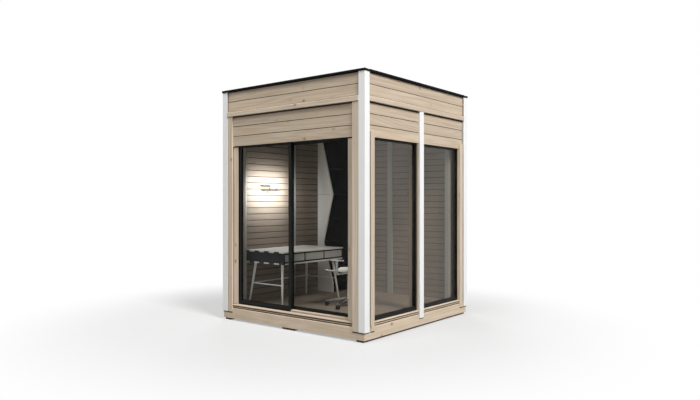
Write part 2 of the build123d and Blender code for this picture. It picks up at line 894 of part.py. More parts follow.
chair_frame.part.label = "chair_frame"
export_step(chair_frame.part, "parts/chair_frame.step")

with BuildPart() as chair_castors:
    with Locations((chair_x, chair_y)):
        with PolarLocations(0, star_count, start_angle=star_turn):
            add(castor.part)
chair_castors.part.label = "chair_castors"
export_step(chair_castors.part, "parts/chair_castors.step")

# Shelf unit: its front runs in and out like a folded screen, up to a straight far end
shelf_deep = 300
shelf_shallow = 120
shelf_crown = 60
shelf_board = 18
shelf_head_gap = 80
level_shares = (0.057, 0.311, 0.455, 0.617, 0.78)

shelf_back = -room_face
shelf_top = ceiling_foot - shelf_head_gap
shelf_levels = [floor_top + share * (shelf_top - floor_top) for share in level_shares]
shelf_low, shelf_waist, _, shelf_shoulder, _ = shelf_levels
shelf_profile = (
    (shelf_back, floor_top),
    (shelf_back + shelf_deep, floor_top),
    (shelf_back + shelf_deep, shelf_low),
    (shelf_back + shelf_shallow, shelf_waist),
    (shelf_back + shelf_deep, shelf_shoulder),
    (shelf_back + shelf_crown, shelf_top),
    (shelf_back, shelf_top),
)

with BuildPart() as shelf_end_panel:
    with BuildSketch(Plane.XZ.offset(-shelf_near - shelf_board)):
        with BuildLine():
            Polyline(*shelf_profile, close=True)
        make_face()
    extrude(amount=shelf_board)
shelf_end_panel.part.label = "shelf_end_panel"
export_step(shelf_end_panel.part, "parts/shelf_end_panel.step")

bay_length = shelf_far - shelf_near - 2 * shelf_board
bay_middle = shelf_near + shelf_board + bay_length / 2
bay_feet = [floor_top, *shelf_levels]
bay_tops = [*shelf_levels, shelf_top]

with BuildPart() as shelf_case:
    with BuildSketch(Plane.XZ.offset(shelf_board - shelf_far)):
        with BuildLine():
            Polyline(*shelf_profile, close=True)
        make_face()
    extrude(amount=bay_length)
    with BuildSketch(Plane.XZ.offset(-shelf_far)):
        with Locations((shelf_back, floor_top)):
            Rectangle(shelf_deep, shelf_top - floor_top, align=(Align.MIN, Align.MIN))
    extrude(amount=shelf_board)
    with BuildSketch(Plane.YZ.offset(shelf_back + shelf_board)):
        for bay_foot, bay_top in zip(bay_feet, bay_tops):
            with Locations((bay_middle, bay_foot + shelf_board)):
                Rectangle(
                    bay_length,
                    bay_top - bay_foot - shelf_board,
                    align=(Align.CENTER, Align.MIN),
                )
    extrude(amount=shelf_deep, mode=Mode.SUBTRACT)
shelf_case.part.label = "shelf_case"
export_step(shelf_case.part, "parts/shelf_case.step")

# Wall lamp: a slim bar on two stems, and a narrow ledge under it
lamp_shift = -258
lamp_height = 1565
lamp_length = 165
lamp_radius = 12
lamp_reach = 70
lamp_stem_radius = 5
lamp_stem_pitch = 90
ledge_shift = -131
ledge_height = 1500
ledge_length = 285
ledge_depth = 75
ledge_thickness = 10

lamp_level = floor_top + lamp_height
lamp_x = -room_face + lamp_reach
lamp_y = desk_y + lamp_shift
ledge_y = desk_y + ledge_shift

with BuildPart() as wall_lamp:
    with BuildSketch(Plane.XZ.offset(-lamp_y - lamp_length / 2)):
        with Locations((lamp_x, lamp_level)):
            Circle(lamp_radius)
    extrude(amount=lamp_length)
    with BuildSketch(Plane.YZ.offset(-room_face)):
        with Locations((lamp_y, lamp_level)):
            with GridLocations(lamp_stem_pitch, 0, 2, 1):
                Circle(lamp_stem_radius)
    extrude(amount=lamp_reach)
    with BuildSketch(Plane.XY.offset(floor_top + ledge_height)):
        with Locations((-room_face, ledge_y)):
            Rectangle(ledge_depth, ledge_length, align=(Align.MIN, Align.CENTER))
    extrude(amount=ledge_thickness)
wall_lamp.part.label = "wall_lamp"
export_step(wall_lamp.part, "parts/wall_lamp.step")
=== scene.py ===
import math
import random

import bmesh
import bpy
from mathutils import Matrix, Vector


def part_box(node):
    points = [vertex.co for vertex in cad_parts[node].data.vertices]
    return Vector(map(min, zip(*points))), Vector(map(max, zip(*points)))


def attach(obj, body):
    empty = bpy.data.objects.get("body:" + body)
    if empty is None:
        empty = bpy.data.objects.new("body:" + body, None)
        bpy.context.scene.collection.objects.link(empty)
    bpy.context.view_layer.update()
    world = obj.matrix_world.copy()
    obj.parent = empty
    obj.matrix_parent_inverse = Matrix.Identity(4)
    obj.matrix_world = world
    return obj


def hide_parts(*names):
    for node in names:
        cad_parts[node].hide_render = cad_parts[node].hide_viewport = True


# A square timber garden house with a sliding glass door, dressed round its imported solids.
# Lengths are metres, +Z is up, the door faces -Y and the two windows face +X.

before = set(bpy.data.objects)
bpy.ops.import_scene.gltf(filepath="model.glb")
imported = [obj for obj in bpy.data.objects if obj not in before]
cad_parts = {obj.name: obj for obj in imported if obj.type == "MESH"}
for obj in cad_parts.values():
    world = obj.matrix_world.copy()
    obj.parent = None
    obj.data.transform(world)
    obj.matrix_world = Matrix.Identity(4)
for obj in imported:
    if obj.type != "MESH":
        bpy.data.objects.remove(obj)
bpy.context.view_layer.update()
chance = random.Random(7)

X, Y, Z = 0, 1, 2
HOUSE, LEAF = "house", "sliding_leaf"

# The sides of the house: the axis each faces along, the axis it runs along and its sign
SIDES = [(axis, along, sign) for axis, along in ((X, Y), (Y, X)) for sign in (-1, 1)]

# Boards: pitch, gap and depth of the cladding outside, the lining inside and the floor
CLADDING_PITCH = 0.126
CLADDING_LINE = 2.393
CLADDING_GAP = 0.008
CLADDING_DEPTH = 0.012
FASCIA_LINE = 2.845
LINING_PITCH = 0.0845
LINING_GAP = 0.01
LINING_DEPTH = 0.012
PLANK_WIDTH = 0.135
PLANK_GAP = 0.002
PLANK_DEPTH = 0.02
LEAST_BOARD = 0.02
SHADOW_GAP = 0.019
FASCIA_GAP = 0.009
END_GAP = 0.009

# Widths of the rounded edges, and the angles in radians that tell a sharp edge from a smooth one
ARRIS = 0.0025
BOARD_ARRIS = 0.0016
FINE_ARRIS = 0.0015
SMALL_ARRIS = 0.001
SOFT_ARRIS = 0.002
FELT_ARRIS = 0.004
SHARP_ANGLE = 0.5
ROUND_SHARP_ANGLE = 0.6
SMOOTH_ANGLE = 0.7
SHELL_SMOOTH_ANGLE = 0.8
FLAT_ANGLE = 0.01

# Small details
TOUCH = 0.0004
MERGE_DISTANCE = 1e-5
TURNED_STEPS, THIN_TURNED_STEPS = 24, 16
GRAIN_SHIFT = 40
LIP_MARGIN = 0.004
GASKET_WIDTH = 0.0035
GASKET_RISE = 0.003
FELT_WIDTH = 0.75
FELT_LAP = 0.08
FELT_STEP = 0.003
SHEET_MARGIN = 0.006
KERB_MARGIN = 0.012
STRIP_SLOPE = 0.005
# The dark strips under the feet and the header stand for their shade
SHADE_STRIP_HEIGHT = 0.01
SHADE_STRIP_DEPTH = 0.004
HEAD_SHADE_STRIP = 0.014


# Node graphs


class Graph:
    """A material's node tree, with short calls for the nodes that are used here."""

    def __init__(self, name):
        self.material = bpy.data.materials.new(name)
        self.material.use_nodes = True
        self.tree = self.material.node_tree
        self.shader = self.tree.nodes["Principled BSDF"]
        self.output = self.tree.nodes["Material Output"]

    def put(self, socket, value):
        if isinstance(value, bpy.types.NodeSocket):
            self.tree.links.new(value, socket)
        else:
            socket.default_value = value

    def node(self, kind, out=0, settings=None, **inputs):
        made = self.tree.nodes.new("ShaderNode" + kind)
        for key, value in (settings or {}).items():
            setattr(made, key, value)
        for key, value in inputs.items():
            self.put(made.inputs[key.replace("_", " ")], value)
        return made.outputs[out]

    def math(self, operation, a, b=0.0, c=0.0):
        made = self.tree.nodes.new("ShaderNodeMath")
        made.operation = operation
        for socket, value in zip(made.inputs, (a, b, c)):
            self.put(socket, value)
        return made.outputs[0]

    def vector(self, operation, *values, out=0):
        made = self.tree.nodes.new("ShaderNodeVectorMath")
        made.operation = operation
        for socket, value in zip(made.inputs, values):
            self.put(socket, value)
        return made.outputs[out]

    def scaled(self, vector, factors):
        return self.vector("MULTIPLY", vector, factors)

    def attribute(self, name, out="Fac"):
        return self.node("Attribute", out, {"attribute_name": name})

    def position(self):
        return self.node("TexCoord", "Object")

    def noise(self, vector, scale=1.0, detail=3.0, roughness=0.55, out="Fac"):
        return self.node(
            "TexNoise", out, Vector=vector, Scale=scale, Detail=detail, Roughness=roughness
        )

    def ranged(self, value, low, high, to_low=0.0, to_high=1.0):
        made = self.tree.nodes.new("ShaderNodeMapRange")
        made.interpolation_type = "SMOOTHSTEP"
        numbers = (value, low, high, to_low, to_high)
        for socket, number in zip(made.inputs, numbers):
            self.put(socket, number)
        return made.outputs[0]

    def mix(self, factor, a, b):
        made = self.tree.nodes.new("ShaderNodeMix")
        made.data_type = "RGBA"
        self.put(made.inputs[0], factor)
        for socket, value in ((made.inputs[6], a), (made.inputs[7], b)):
            self.put(socket, value if isinstance(value, bpy.types.NodeSocket) else (*value, 1))
        return made.outputs[2]

    def mix_shader(self, factor, a, b):
        made = self.tree.nodes.new("ShaderNodeMixShader")
        for socket, value in zip(made.inputs, (factor, a, b)):
            self.put(socket, value)
        return made.outputs[0]

    def bump(self, height, strength, distance):
        return self.node("Bump", Height=height, Strength=strength, Distance=distance)

    def surface(self, **inputs):
        """Sets the Principled shader's inputs and returns the material."""
        for key, value in inputs.items():
            self.put(self.shader.inputs[key.replace("_", " ")], value)
        return self.material

    def swap_surface(self, shader):
        """Puts another shader in the Principled shader's place and returns the material."""
        self.tree.nodes.remove(self.shader)
        self.put(self.output.inputs["Surface"], shader)
        return self.material


# Materials

TIMBER_ROUGHNESS = 0.62
PAINT_ROUGHNESS = 0.42
KNOT_SHARE = 0.3


def knotted(g, grain, shade, dark, knot):
    """Dark knots with a soft halo, in some of the cells of a bent grid that follows the grain."""
    bend = g.noise(g.scaled(grain, (16, 30, 30)), detail=1.0, out="Color")
    place = g.vector("MULTIPLY_ADD", bend, (0.1, 0.1, 0.1), g.scaled(grain, (4.6, 7.5, 7.5)))
    cells = g.tree.nodes.new("ShaderNodeTexVoronoi")
    cells.inputs["Scale"].default_value = 1.0
    g.put(cells.inputs["Vector"], place)
    chosen = g.math("LESS_THAN", g.node("SeparateColor", Color=cells.outputs["Color"]), KNOT_SHARE)
    core = g.ranged(cells.outputs["Distance"], 0.05, 0.1, 1.0, 0.0)
    halo = g.ranged(cells.outputs["Distance"], 0.08, 0.24, 0.4, 0.0)
    halo_colour = tuple(0.5 * (a + b) for a, b in zip(dark, knot))
    shade = g.mix(g.math("MULTIPLY", halo, chosen), shade, halo_colour)
    return g.mix(g.math("MULTIPLY", core, chosen), shade, knot)


def timber(name, light, dark, knot, relief=0.45):
    """Planed softwood. The grain runs along the first part of the "grain" attribute."""
    g = Graph(name)
    grain = g.attribute("grain", "Vector")
    tone = g.attribute("tone")
    worn = g.attribute("edge")
    fibre = g.noise(g.scaled(grain, (5.0, 260.0, 260.0)), detail=3.0, roughness=0.65)
    streak = g.noise(g.scaled(grain, (0.8, 48.0, 48.0)), detail=3.0)
    figure = g.noise(g.scaled(grain, (0.28, 4.2, 4.2)), detail=2.0, roughness=0.4)
    rings = g.math("MULTIPLY_ADD", g.math("SINE", g.math("MULTIPLY", figure, 95.0)), 0.5, 0.5)
    mixed = g.math("MULTIPLY_ADD", rings, 0.12, g.math("MULTIPLY", streak, 0.62))
    mixed = g.math("MULTIPLY_ADD", fibre, 0.3, mixed)
    colour = g.mix(g.ranged(mixed, 0.28, 0.78), dark, light)
    drift = g.noise(g.scaled(grain, (0.9, 3.0, 3.0)), detail=2.0)
    grey = tuple(0.8 * c + 0.2 * sum(light) / 3 for c in light)
    warm = tuple(min(1.0, c * s) for c, s in zip(light, (1.02, 0.95, 0.86)))
    colour = g.mix(g.ranged(drift, 0.52, 0.75, 0.0, 0.4), colour, warm)
    colour = g.mix(g.ranged(drift, 0.25, 0.48, 0.4, 0.0), colour, grey)
    shade = g.node("HueSaturation", Color=colour, Value=g.ranged(tone, 0.0, 1.0, 0.93, 1.04))
    shade = knotted(g, grain, shade, dark, knot)
    pale = tuple(min(1.0, 1.06 * c) for c in light)
    shade = g.mix(g.math("MULTIPLY", worn, g.ranged(streak, 0.35, 0.65, 0.1, 0.55)), shade, pale)
    return g.surface(
        Base_Color=shade,
        Roughness=g.ranged(streak, 0.3, 0.7, TIMBER_ROUGHNESS - 0.06, TIMBER_ROUGHNESS + 0.1),
        Specular_IOR_Level=0.25,
        Normal=g.bump(g.math("MULTIPLY_ADD", rings, 0.4, fibre), relief, 0.0006),
    )


def painted(name, colour, dust):
    """Brushed-on paint over timber, greyer at the arrises and a little dusty at the foot."""
    g = Graph(name)
    grain = g.attribute("grain", "Vector")
    worn = g.attribute("edge")
    place = g.position()
    brush = g.noise(g.scaled(grain, (2.0, 120.0, 120.0)), detail=3.0)
    cloud = g.noise(place, scale=2.3, detail=3.0)
    height = g.node("SeparateXYZ", "Z", Vector=place)
    low = g.math("MULTIPLY", g.ranged(height, 0.1, 0.5, 0.25, 0.0), g.ranged(cloud, 0.35, 0.7))
    shade = g.mix(g.ranged(brush, 0.35, 0.7, 0.0, 0.12), colour, dust)
    shade = g.mix(g.ranged(cloud, 0.4, 0.75, 0.0, 0.08), shade, dust)
    shade = g.mix(g.math("MULTIPLY", worn, g.ranged(cloud, 0.4, 0.65, 0.05, 0.35)), shade, dust)
    shade = g.mix(low, shade, dust)
    return g.surface(
        Base_Color=shade,
        Roughness=g.ranged(brush, 0.3, 0.7, PAINT_ROUGHNESS - 0.05, PAINT_ROUGHNESS + 0.09),
        Specular_IOR_Level=0.3,
        Normal=g.bump(brush, 0.25, 0.0005),
    )


def coated_metal(name, colour, rubbed, roughness=0.45, shine=0.12):
    """Powder coat: a fine orange-peel skin, rubbed paler along the edges."""
    g = Graph(name)
    place = g.position()
    worn = g.attribute("edge")
    peel = g.noise(place, scale=520.0, detail=2.0)
    cloud = g.noise(place, scale=5.0, detail=4.0)
    shade = g.mix(g.ranged(cloud, 0.35, 0.75, 0.0, 0.35), colour, rubbed)
    shade = g.mix(g.math("MULTIPLY", worn, g.ranged(cloud, 0.4, 0.65, 0.1, 0.8)), shade, rubbed)
    return g.surface(
        Base_Color=shade,
        Roughness=g.ranged(cloud, 0.3, 0.7, roughness - 0.07, roughness + 0.1),
        Specular_IOR_Level=shine,
        Normal=g.bump(peel, 0.2, 0.0003),
    )


def bright_metal(name, colour):
    """Polished aluminium with faint lengthwise polishing lines."""
    g = Graph(name)
    place = g.position()
    lines = g.noise(g.scaled(place, (60.0, 60.0, 900.0)), detail=2.0)
    cloud = g.noise(place, scale=18.0, detail=3.0)
    dull = tuple(0.8 * c for c in colour)
    return g.surface(
        Base_Color=g.mix(g.ranged(cloud, 0.35, 0.7, 0.0, 0.5), colour, dull),
        Metallic=1.0,
        Roughness=g.ranged(cloud, 0.3, 0.7, 0.16, 0.3),
        Normal=g.bump(lines, 0.12, 0.0002),
    )


def glazing(name, clean, filmed, coat):
    """Tinted glass: see-through in the middle, with a weak mirror, the coat, at the skin."""
    g = Graph(name)
    film = g.noise(g.position(), scale=1.4, detail=4.0)
    clear = g.node("BsdfTransparent", Color=g.mix(g.ranged(film, 0.35, 0.75), clean, filmed))
    mirror = g.node(
        "BsdfGlossy", Color=(0.92, 0.96, 0.95, 1), Roughness=g.ranged(film, 0.3, 0.7, 0.0, 0.03)
    )
    skin = g.ranged(film, 0.3, 0.7, coat, 0.9 * coat)
    mirrored = g.math("ADD", g.node("Fresnel", IOR=1.06), skin)
    return g.swap_surface(g.mix_shader(mirrored, clear, mirror))


def roofing_felt(name):
    """Mineral-faced felt: dark granules, with paler dust where water has stood."""
    g = Graph(name)
    place = g.position()
    grit = g.noise(place, scale=700.0, detail=2.0)
    cloud = g.noise(place, scale=1.7, detail=5.0)
    shade = g.mix(g.ranged(grit, 0.35, 0.7), (0.012, 0.012, 0.013), (0.045, 0.045, 0.046))
    shade = g.mix(g.ranged(cloud, 0.5, 0.75, 0.0, 0.45), shade, (0.085, 0.082, 0.077))
    return g.surface(
        Base_Color=shade,
        Roughness=g.ranged(grit, 0.3, 0.7, 0.82, 0.95),
        Specular_IOR_Level=0.2,
        Normal=g.bump(grit, 0.6, 0.0015),
    )


def felt(name, light, dark):
    """Pressed wool felt with loose fibres."""
    g = Graph(name)
    place = g.position()
    fibre = g.noise(g.scaled(place, (260.0, 420.0, 420.0)), detail=4.0, roughness=0.7)
    cloud = g.noise(place, scale=30.0, detail=3.0)
    shade = g.mix(g.ranged(fibre, 0.3, 0.7), dark, light)
    shade = g.mix(g.ranged(cloud, 0.4, 0.7, 0.0, 0.25), shade, dark)
    return g.surface(
        Base_Color=shade,
        Roughness=g.ranged(cloud, 0.3, 0.7, 0.88, 0.97),
        Specular_IOR_Level=0.15,
        Sheen_Weight=0.25,
        Normal=g.bump(fibre, 0.5, 0.001),
    )


def smooth_coat(name, colour, shadow, roughness, shine=0.4):
    """Lacquer, laminate or moulded plastic: nearly even, with faint clouds and fine texture."""
    g = Graph(name)
    place = g.position()
    worn = g.attribute("edge")
    fine = g.noise(place, scale=340.0, detail=2.0)
    cloud = g.noise(place, scale=6.0, detail=4.0)
    shade = g.mix(g.ranged(cloud, 0.35, 0.75, 0.0, 0.3), colour, shadow)
    shade = g.mix(g.math("MULTIPLY", worn, g.ranged(cloud, 0.4, 0.65, 0.05, 0.4)), shade, shadow)
    return g.surface(
        Base_Color=shade,
        Roughness=g.ranged(cloud, 0.3, 0.7, roughness - 0.05, roughness + 0.08),
        Specular_IOR_Level=shine,
        Normal=g.bump(fine, 0.12, 0.0004),
    )


def glowing(name, colour, strength):
    """A lamp's diffuser, a little warmer in patches."""
    g = Graph(name)
    cloud = g.noise(g.position(), scale=25.0, detail=2.0)
    warm = tuple(c * s for c, s in zip(colour, (1.0, 0.93, 0.84)))
    shade = g.mix(g.ranged(cloud, 0.3, 0.7), colour, warm)
    return g.surface(Base_Color=shade, Emission_Color=shade, Emission_Strength=strength)


PINE_KNOT = (0.25, 0.155, 0.09)
pine = timber("pale_pine", (0.655, 0.54, 0.413), (0.47, 0.373, 0.273), PINE_KNOT)
trim_pine = timber("trim_pine", (0.71, 0.595, 0.465), (0.52, 0.425, 0.325), PINE_KNOT)
base_pine = timber("base_pine", (0.77, 0.635, 0.485), (0.575, 0.46, 0.338), PINE_KNOT)
# A darker copy of the trim pine for the sill and threshold, whose tops face the light: painted
# shade
shaded_sill_pine = timber("shaded_sill_pine", (0.48, 0.39, 0.295), (0.39, 0.308, 0.226), (0.22, 0.14, 0.08))
# A much darker copy of the pine for the boards and timbers inside: painted shade of the dim room
shaded_lining_pine = timber("shaded_lining_pine", (0.28, 0.225, 0.182), (0.215, 0.17, 0.135), (0.12, 0.08, 0.05))
floor_pine = timber("floor_pine", (0.265, 0.225, 0.188), (0.205, 0.17, 0.142), (0.1, 0.07, 0.05))
# Nearly black timber for groove backings, cores, studs and plinths: painted shade in the recesses
painted_shade_pine = timber(
    "groove_shadow", (0.06, 0.045, 0.034), (0.04, 0.03, 0.022), (0.03, 0.02, 0.015)
)
sawn = timber(
    "sawn_runner", (0.16, 0.12, 0.09), (0.08, 0.06, 0.045), (0.04, 0.03, 0.02), relief=0.9
)
white_paint = painted("white_paint", (0.88, 0.88, 0.875), (0.72, 0.71, 0.685))
# A grey copy of the white paint for the white inner posts: painted shade of the dim room
shaded_white_paint = painted("shaded_white_paint", (0.38, 0.41, 0.405), (0.31, 0.33, 0.325))
black_coat = coated_metal("black_powder_coat", (0.0065, 0.0068, 0.006), (0.02, 0.02, 0.018))
edge_coat = coated_metal("edge_metal", (0.004, 0.004, 0.004), (0.014, 0.014, 0.014), 0.6, 0.05)
lamp_coat = coated_metal("lamp_metal", (0.02, 0.02, 0.02), (0.06, 0.06, 0.06))
rubber = smooth_coat("gasket_rubber", (0.006, 0.006, 0.006), (0.015, 0.015, 0.015), 0.75, 0.1)
# Dark brown for the strips under the feet and over the jambs: painted shade
shade_strip_brown = smooth_coat("painted_shade_strip", (0.03, 0.024, 0.019), (0.045, 0.036, 0.028), 0.75, 0.1)
door_glass = glazing("door_glass", (0.89, 0.895, 0.885), (0.86, 0.87, 0.86), 0.004)
window_glass = glazing("window_glass", (0.89, 0.855, 0.815), (0.86, 0.83, 0.79), 0.046)
roofing = roofing_felt("roofing_felt")
lacquer = smooth_coat("white_lacquer", (0.86, 0.86, 0.845), (0.75, 0.74, 0.715), 0.35)
laminate = smooth_coat("black_laminate", (0.012, 0.012, 0.012), (0.026, 0.025, 0.024), 0.6, 0.12)
grey_felt = felt("grey_felt", (0.634, 0.634, 0.634), (0.39, 0.39, 0.397))
black_felt = felt("black_felt", (0.03, 0.03, 0.03), (0.012, 0.012, 0.012))
shell_white = smooth_coat("shell_plastic", (0.84, 0.84, 0.83), (0.72, 0.72, 0.70), 0.28)
chrome = bright_metal("polished_aluminium", (0.62, 0.62, 0.62))
castor_black = smooth_coat("castor_plastic", (0.012, 0.012, 0.012), (0.03, 0.03, 0.03), 0.5, 0.2)
diffuser = glowing("lamp_diffuser", (1.0, 0.92, 0.8), 6.0)


# Mesh pieces

BOX_FACES = ((0, 1, 3, 2), (4, 6, 7, 5), (0, 4, 5, 1), (2, 3, 7, 6), (0, 2, 6, 4), (1, 5, 7, 3))


def islands(bm):
    """The connected groups of vertices."""
    left = set(bm.verts)
    while left:
        group = set()
        reached = [left.pop()]
        while reached:
            vert = reached.pop()
            group.add(vert)
            for edge in vert.link_edges:
                other = edge.other_vert(vert)
                if other in left:
                    left.remove(other)
                    reached.append(other)
        yield group


def box_of(verts):
    low = Vector(min(v.co[i] for v in verts) for i in range(3))
    high = Vector(max(v.co[i] for v in verts) for i in range(3))
    return low, high


def merged_mesh(node):
    """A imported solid's mesh with its doubled vertices joined."""
    bm = bmesh.new()
    bm.from_mesh(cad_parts[node].data)
    bmesh.ops.remove_doubles(bm, verts=bm.verts, dist=MERGE_DISTANCE)
    return bm


def copy_of(node):
    """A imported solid's mesh with whole flat faces, ready to be dressed."""
    bm = merged_mesh(node)
    bmesh.ops.dissolve_limit(bm, angle_limit=FLAT_ANGLE, verts=bm.verts, edges=bm.edges)
    return bm


def solids_of(node):
    """The box of each solid in a node, in order of its low corner."""
    bm = merged_mesh(node)
    boxes = sorted((box_of(verts) for verts in islands(bm)), key=lambda box: tuple(box[0]))
    bm.free()
    return boxes


def mark_grain(bm, along=None):
    """Gives each island a tone of its own and coordinates that run along its length."""
    grain = bm.verts.layers.float_vector.new("grain")
    tone = bm.verts.layers.float.new("tone")
    groups = sorted(islands(bm), key=lambda verts: tuple(round(c, 4) for c in box_of(verts)[0]))
    for verts in groups:
        low, high = box_of(verts)
        size = high - low
        axis = max(range(3), key=lambda i: size[i]) if along is None else along
        across = [i for i in range(3) if i != axis]
        start = Vector(chance.uniform(0, GRAIN_SHIFT) for _ in range(3))
        shade = chance.random()
        for vert in verts:
            ordered = (vert.co[axis], vert.co[across[0]], vert.co[across[1]])
            vert[grain] = start + Vector(ordered)
            vert[tone] = shade


def soften(bm, width, segments=2, angle=SHARP_ANGLE):
    """Rounds the sharp edges and marks the new faces as edges for the wear."""
    edge_mark = bm.faces.layers.float.new("edge")
    sharp = [e for e in bm.edges if e.is_manifold and e.calc_face_angle(0.0) > angle]
    made = bmesh.ops.bevel(
        bm, geom=sharp, offset=width, segments=segments, profile=0.5, affect="EDGES",
        clamp_overlap=True,
    )
    for face in made["faces"]:
        face[edge_mark] = 1.0


def add_box(bm, low, high, material=0):
    """A plain box from corner to corner, to be rounded later with its neighbours."""
    corners = [
        bm.verts.new((x, y, z)) for x in (low[0], high[0]) for y in (low[1], high[1])
        for z in (low[2], high[2])
    ]
    for quad in BOX_FACES:
        bm.faces.new([corners[i] for i in quad]).material_index = material


def lathe(bm, base, axis, profile, segments=TURNED_STEPS):
    """A turned solid: the profile's (distance along the axis, radius) pairs swept round it."""
    turn = Vector(axis).normalized().to_track_quat("Z", "Y").to_matrix()
    rings = []
    for along, radius in profile:
        ring = []
        for i in range(segments):
            angle = 2 * math.pi * i / segments
            point = Vector((radius * math.cos(angle), radius * math.sin(angle), along))
            ring.append(bm.verts.new(Vector(base) + turn @ point))
        rings.append(ring)
    for ring, above in zip(rings, rings[1:]):
        for i in range(segments):
            j = (i + 1) % segments
            bm.faces.new((ring[i], ring[j], above[j], above[i]))
    for ring in (rings[0][::-1], rings[-1]):
        bm.faces.new(ring)


def finish_mesh(name, bm, materials, slot, body=HOUSE, replaces=(), smooth=None):
    """Turns a bmesh into a named piece that rides on a body."""
    bmesh.ops.recalc_face_normals(bm, faces=bm.faces)
    mesh = bpy.data.meshes.new(name)
    bm.to_mesh(mesh)
    bm.free()
    for material in materials if isinstance(materials, list) else [materials]:
        mesh.materials.append(material)
    if smooth is not None:
        mesh.polygons.foreach_set("use_smooth", [True] * len(mesh.polygons))
        mesh.set_sharp_from_angle(angle=smooth)
    piece = bpy.data.objects.new(name, mesh)
    bpy.context.scene.collection.objects.link(piece)
    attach(piece, body)
    if replaces:
        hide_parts(*replaces)
    return piece


def dressed(name, node, material, slot, body=HOUSE, width=ARRIS, smooth=None, angle=SHARP_ANGLE):
    """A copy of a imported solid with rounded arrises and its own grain, in the solid's place."""
    bm = copy_of(node)
    soften(bm, width, angle=angle)
    mark_grain(bm)
    finish_mesh(name, bm, material, slot, body, [node], smooth)


def boards(bm, low, high, out, pitch_axis, lines, gap, depth, material=0):
    """Boards between two corners, parted at the given lines. out is the (axis, sign) they face."""
    axis, sign = out
    edges = [low[pitch_axis], *lines, high[pitch_axis]]
    for i, (start, end) in enumerate(zip(edges, edges[1:])):
        a, b = list(low), list(high)
        a[pitch_axis] = start + (gap / 2 if i else 0)
        b[pitch_axis] = end - (gap / 2 if i < len(edges) - 2 else 0)
        if sign > 0:
            a[axis] = high[axis] - depth
        else:
            b[axis] = low[axis] + depth
        add_box(bm, a, b, material)


def lines_between(low, high, through, pitch):
    """The grooves between two ends, a pitch apart and in step with one known line."""
    first = through - math.floor((through - low - LEAST_BOARD) / pitch) * pitch
    count = math.floor((high - LEAST_BOARD - first) / pitch) + 1
    return [first + i * pitch for i in range(count)]


def shrunk(low, high, axis, from_low, from_high):
    """A box with the skins taken off along one axis."""
    a, b = Vector(low), Vector(high)
    a[axis] += from_low
    b[axis] -= from_high
    return a, b


# Boarded walls

# The third wall material is painted shade, the nearly black timber seen in the grooves
CLADDING, LINING, GROOVE_SHADE = 0, 1, 2
WALL_MATERIALS = [pine, shaded_lining_pine, painted_shade_pine]

room_low, room_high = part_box("floor_boards")
floor_top = room_high.z
strip_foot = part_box("drip_strips")[0].z
post_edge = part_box("front_corner_boards")[1].x
LINING_LINE = floor_top + LINING_PITCH


def clad(bm, low, high, out):
    """Cladding that runs over the corner studs to the posts, and stops short of the drip strip."""
    low, high = Vector(low), Vector(high)
    along = Y if out[0] == X else X
    stud = abs(high[out[0]] if out[1] > 0 else low[out[0]]) - (high[out[0]] - low[out[0]]) + TOUCH
    for end, sign in ((low, -1), (high, 1)):
        if abs(end[along]) > stud - 2 * TOUCH:
            end[along] = sign * (post_edge - END_GAP)
    high.z = strip_foot - SHADOW_GAP
    lines = lines_between(low.z, high.z, CLADDING_LINE, CLADDING_PITCH)
    boards(bm, low, high, out, Z, lines, CLADDING_GAP, CLADDING_DEPTH, CLADDING)


def line_inside(bm, low, high, out):
    lines = lines_between(low[Z], high[Z], LINING_LINE, LINING_PITCH)
    boards(bm, low, high, out, Z, lines, LINING_GAP, LINING_DEPTH, LINING)


def boarded_wall(name, node, axis, sign, parts, lined_from):
    """A wall of outer cladding, a core and inner lining, in one or more lengths."""
    low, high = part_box(node)
    along = Y if axis == X else X
    bm = bmesh.new()
    spans = [low[along] + (high[along] - low[along]) * i / parts for i in range(parts + 1)]
    for start, end in zip(spans, spans[1:]):
        a, b = low.copy(), high.copy()
        a[along], b[along] = start + TOUCH, end - TOUCH
        clad(bm, a, b, (axis, sign))
        skins = [CLADDING_DEPTH + TOUCH, LINING_DEPTH + TOUCH]
        # A core in the nearly black timber, painted shade where it shows in the grooves
        add_box(bm, *shrunk(a, b, axis, *(skins[::-1] if sign > 0 else skins)), GROOVE_SHADE)
        a.z = max(a.z, lined_from)
        line_inside(bm, a, b, (axis, -sign))
    soften(bm, BOARD_ARRIS, segments=1)
    mark_grain(bm, along)
    finish_mesh(name, bm, WALL_MATERIALS, "timber", replaces=[node])


def front_header_boards():
    """The header over the door: cladding outside, a rebate for the door's head, lining inside."""
    low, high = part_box("front_header")
    head_low, head_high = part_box("door_head")
    over = Vector((low.x, low.y, head_high.z + TOUCH))
    bm = bmesh.new()
    clad(bm, low, high, (Y, -1))
    line_inside(bm, over, high, (Y, 1))
    # A core and a lip above the door head in the nearly black timber: painted shade
    add_box(bm, *shrunk(over, high, Y, CLADDING_DEPTH + TOUCH, LINING_DEPTH + TOUCH), GROOVE_SHADE)
    lip = (low.x, low.y + CLADDING_DEPTH + TOUCH, low.z + TOUCH)
    add_box(bm, lip, (high.x, head_low.y - TOUCH, over.z), GROOVE_SHADE)
    soften(bm, BOARD_ARRIS, segments=1)
    mark_grain(bm, X)
    finish_mesh("front_header_boards", bm, WALL_MATERIALS, "timber", replaces=["front_header"])


def corner_stud_timbers():
    """Studs behind the cladding, seen in the shadow gaps beside the white posts, in the nearly
    black timber that paints their shade.
    """
    bm = bmesh.new()
    for low, high in solids_of("corner_studs"):
        for axis in (X, Y):
            skins = [CLADDING_DEPTH + TOUCH, TOUCH]
            low, high = shrunk(low, high, axis, *(skins if low[axis] < 0 else skins[::-1]))
        add_box(bm, low, high)
    soften(bm, ARRIS)
    mark_grain(bm, Z)
    finish_mesh("corner_stud_timbers", bm, painted_shade_pine, "timber", replaces=["corner_studs"])


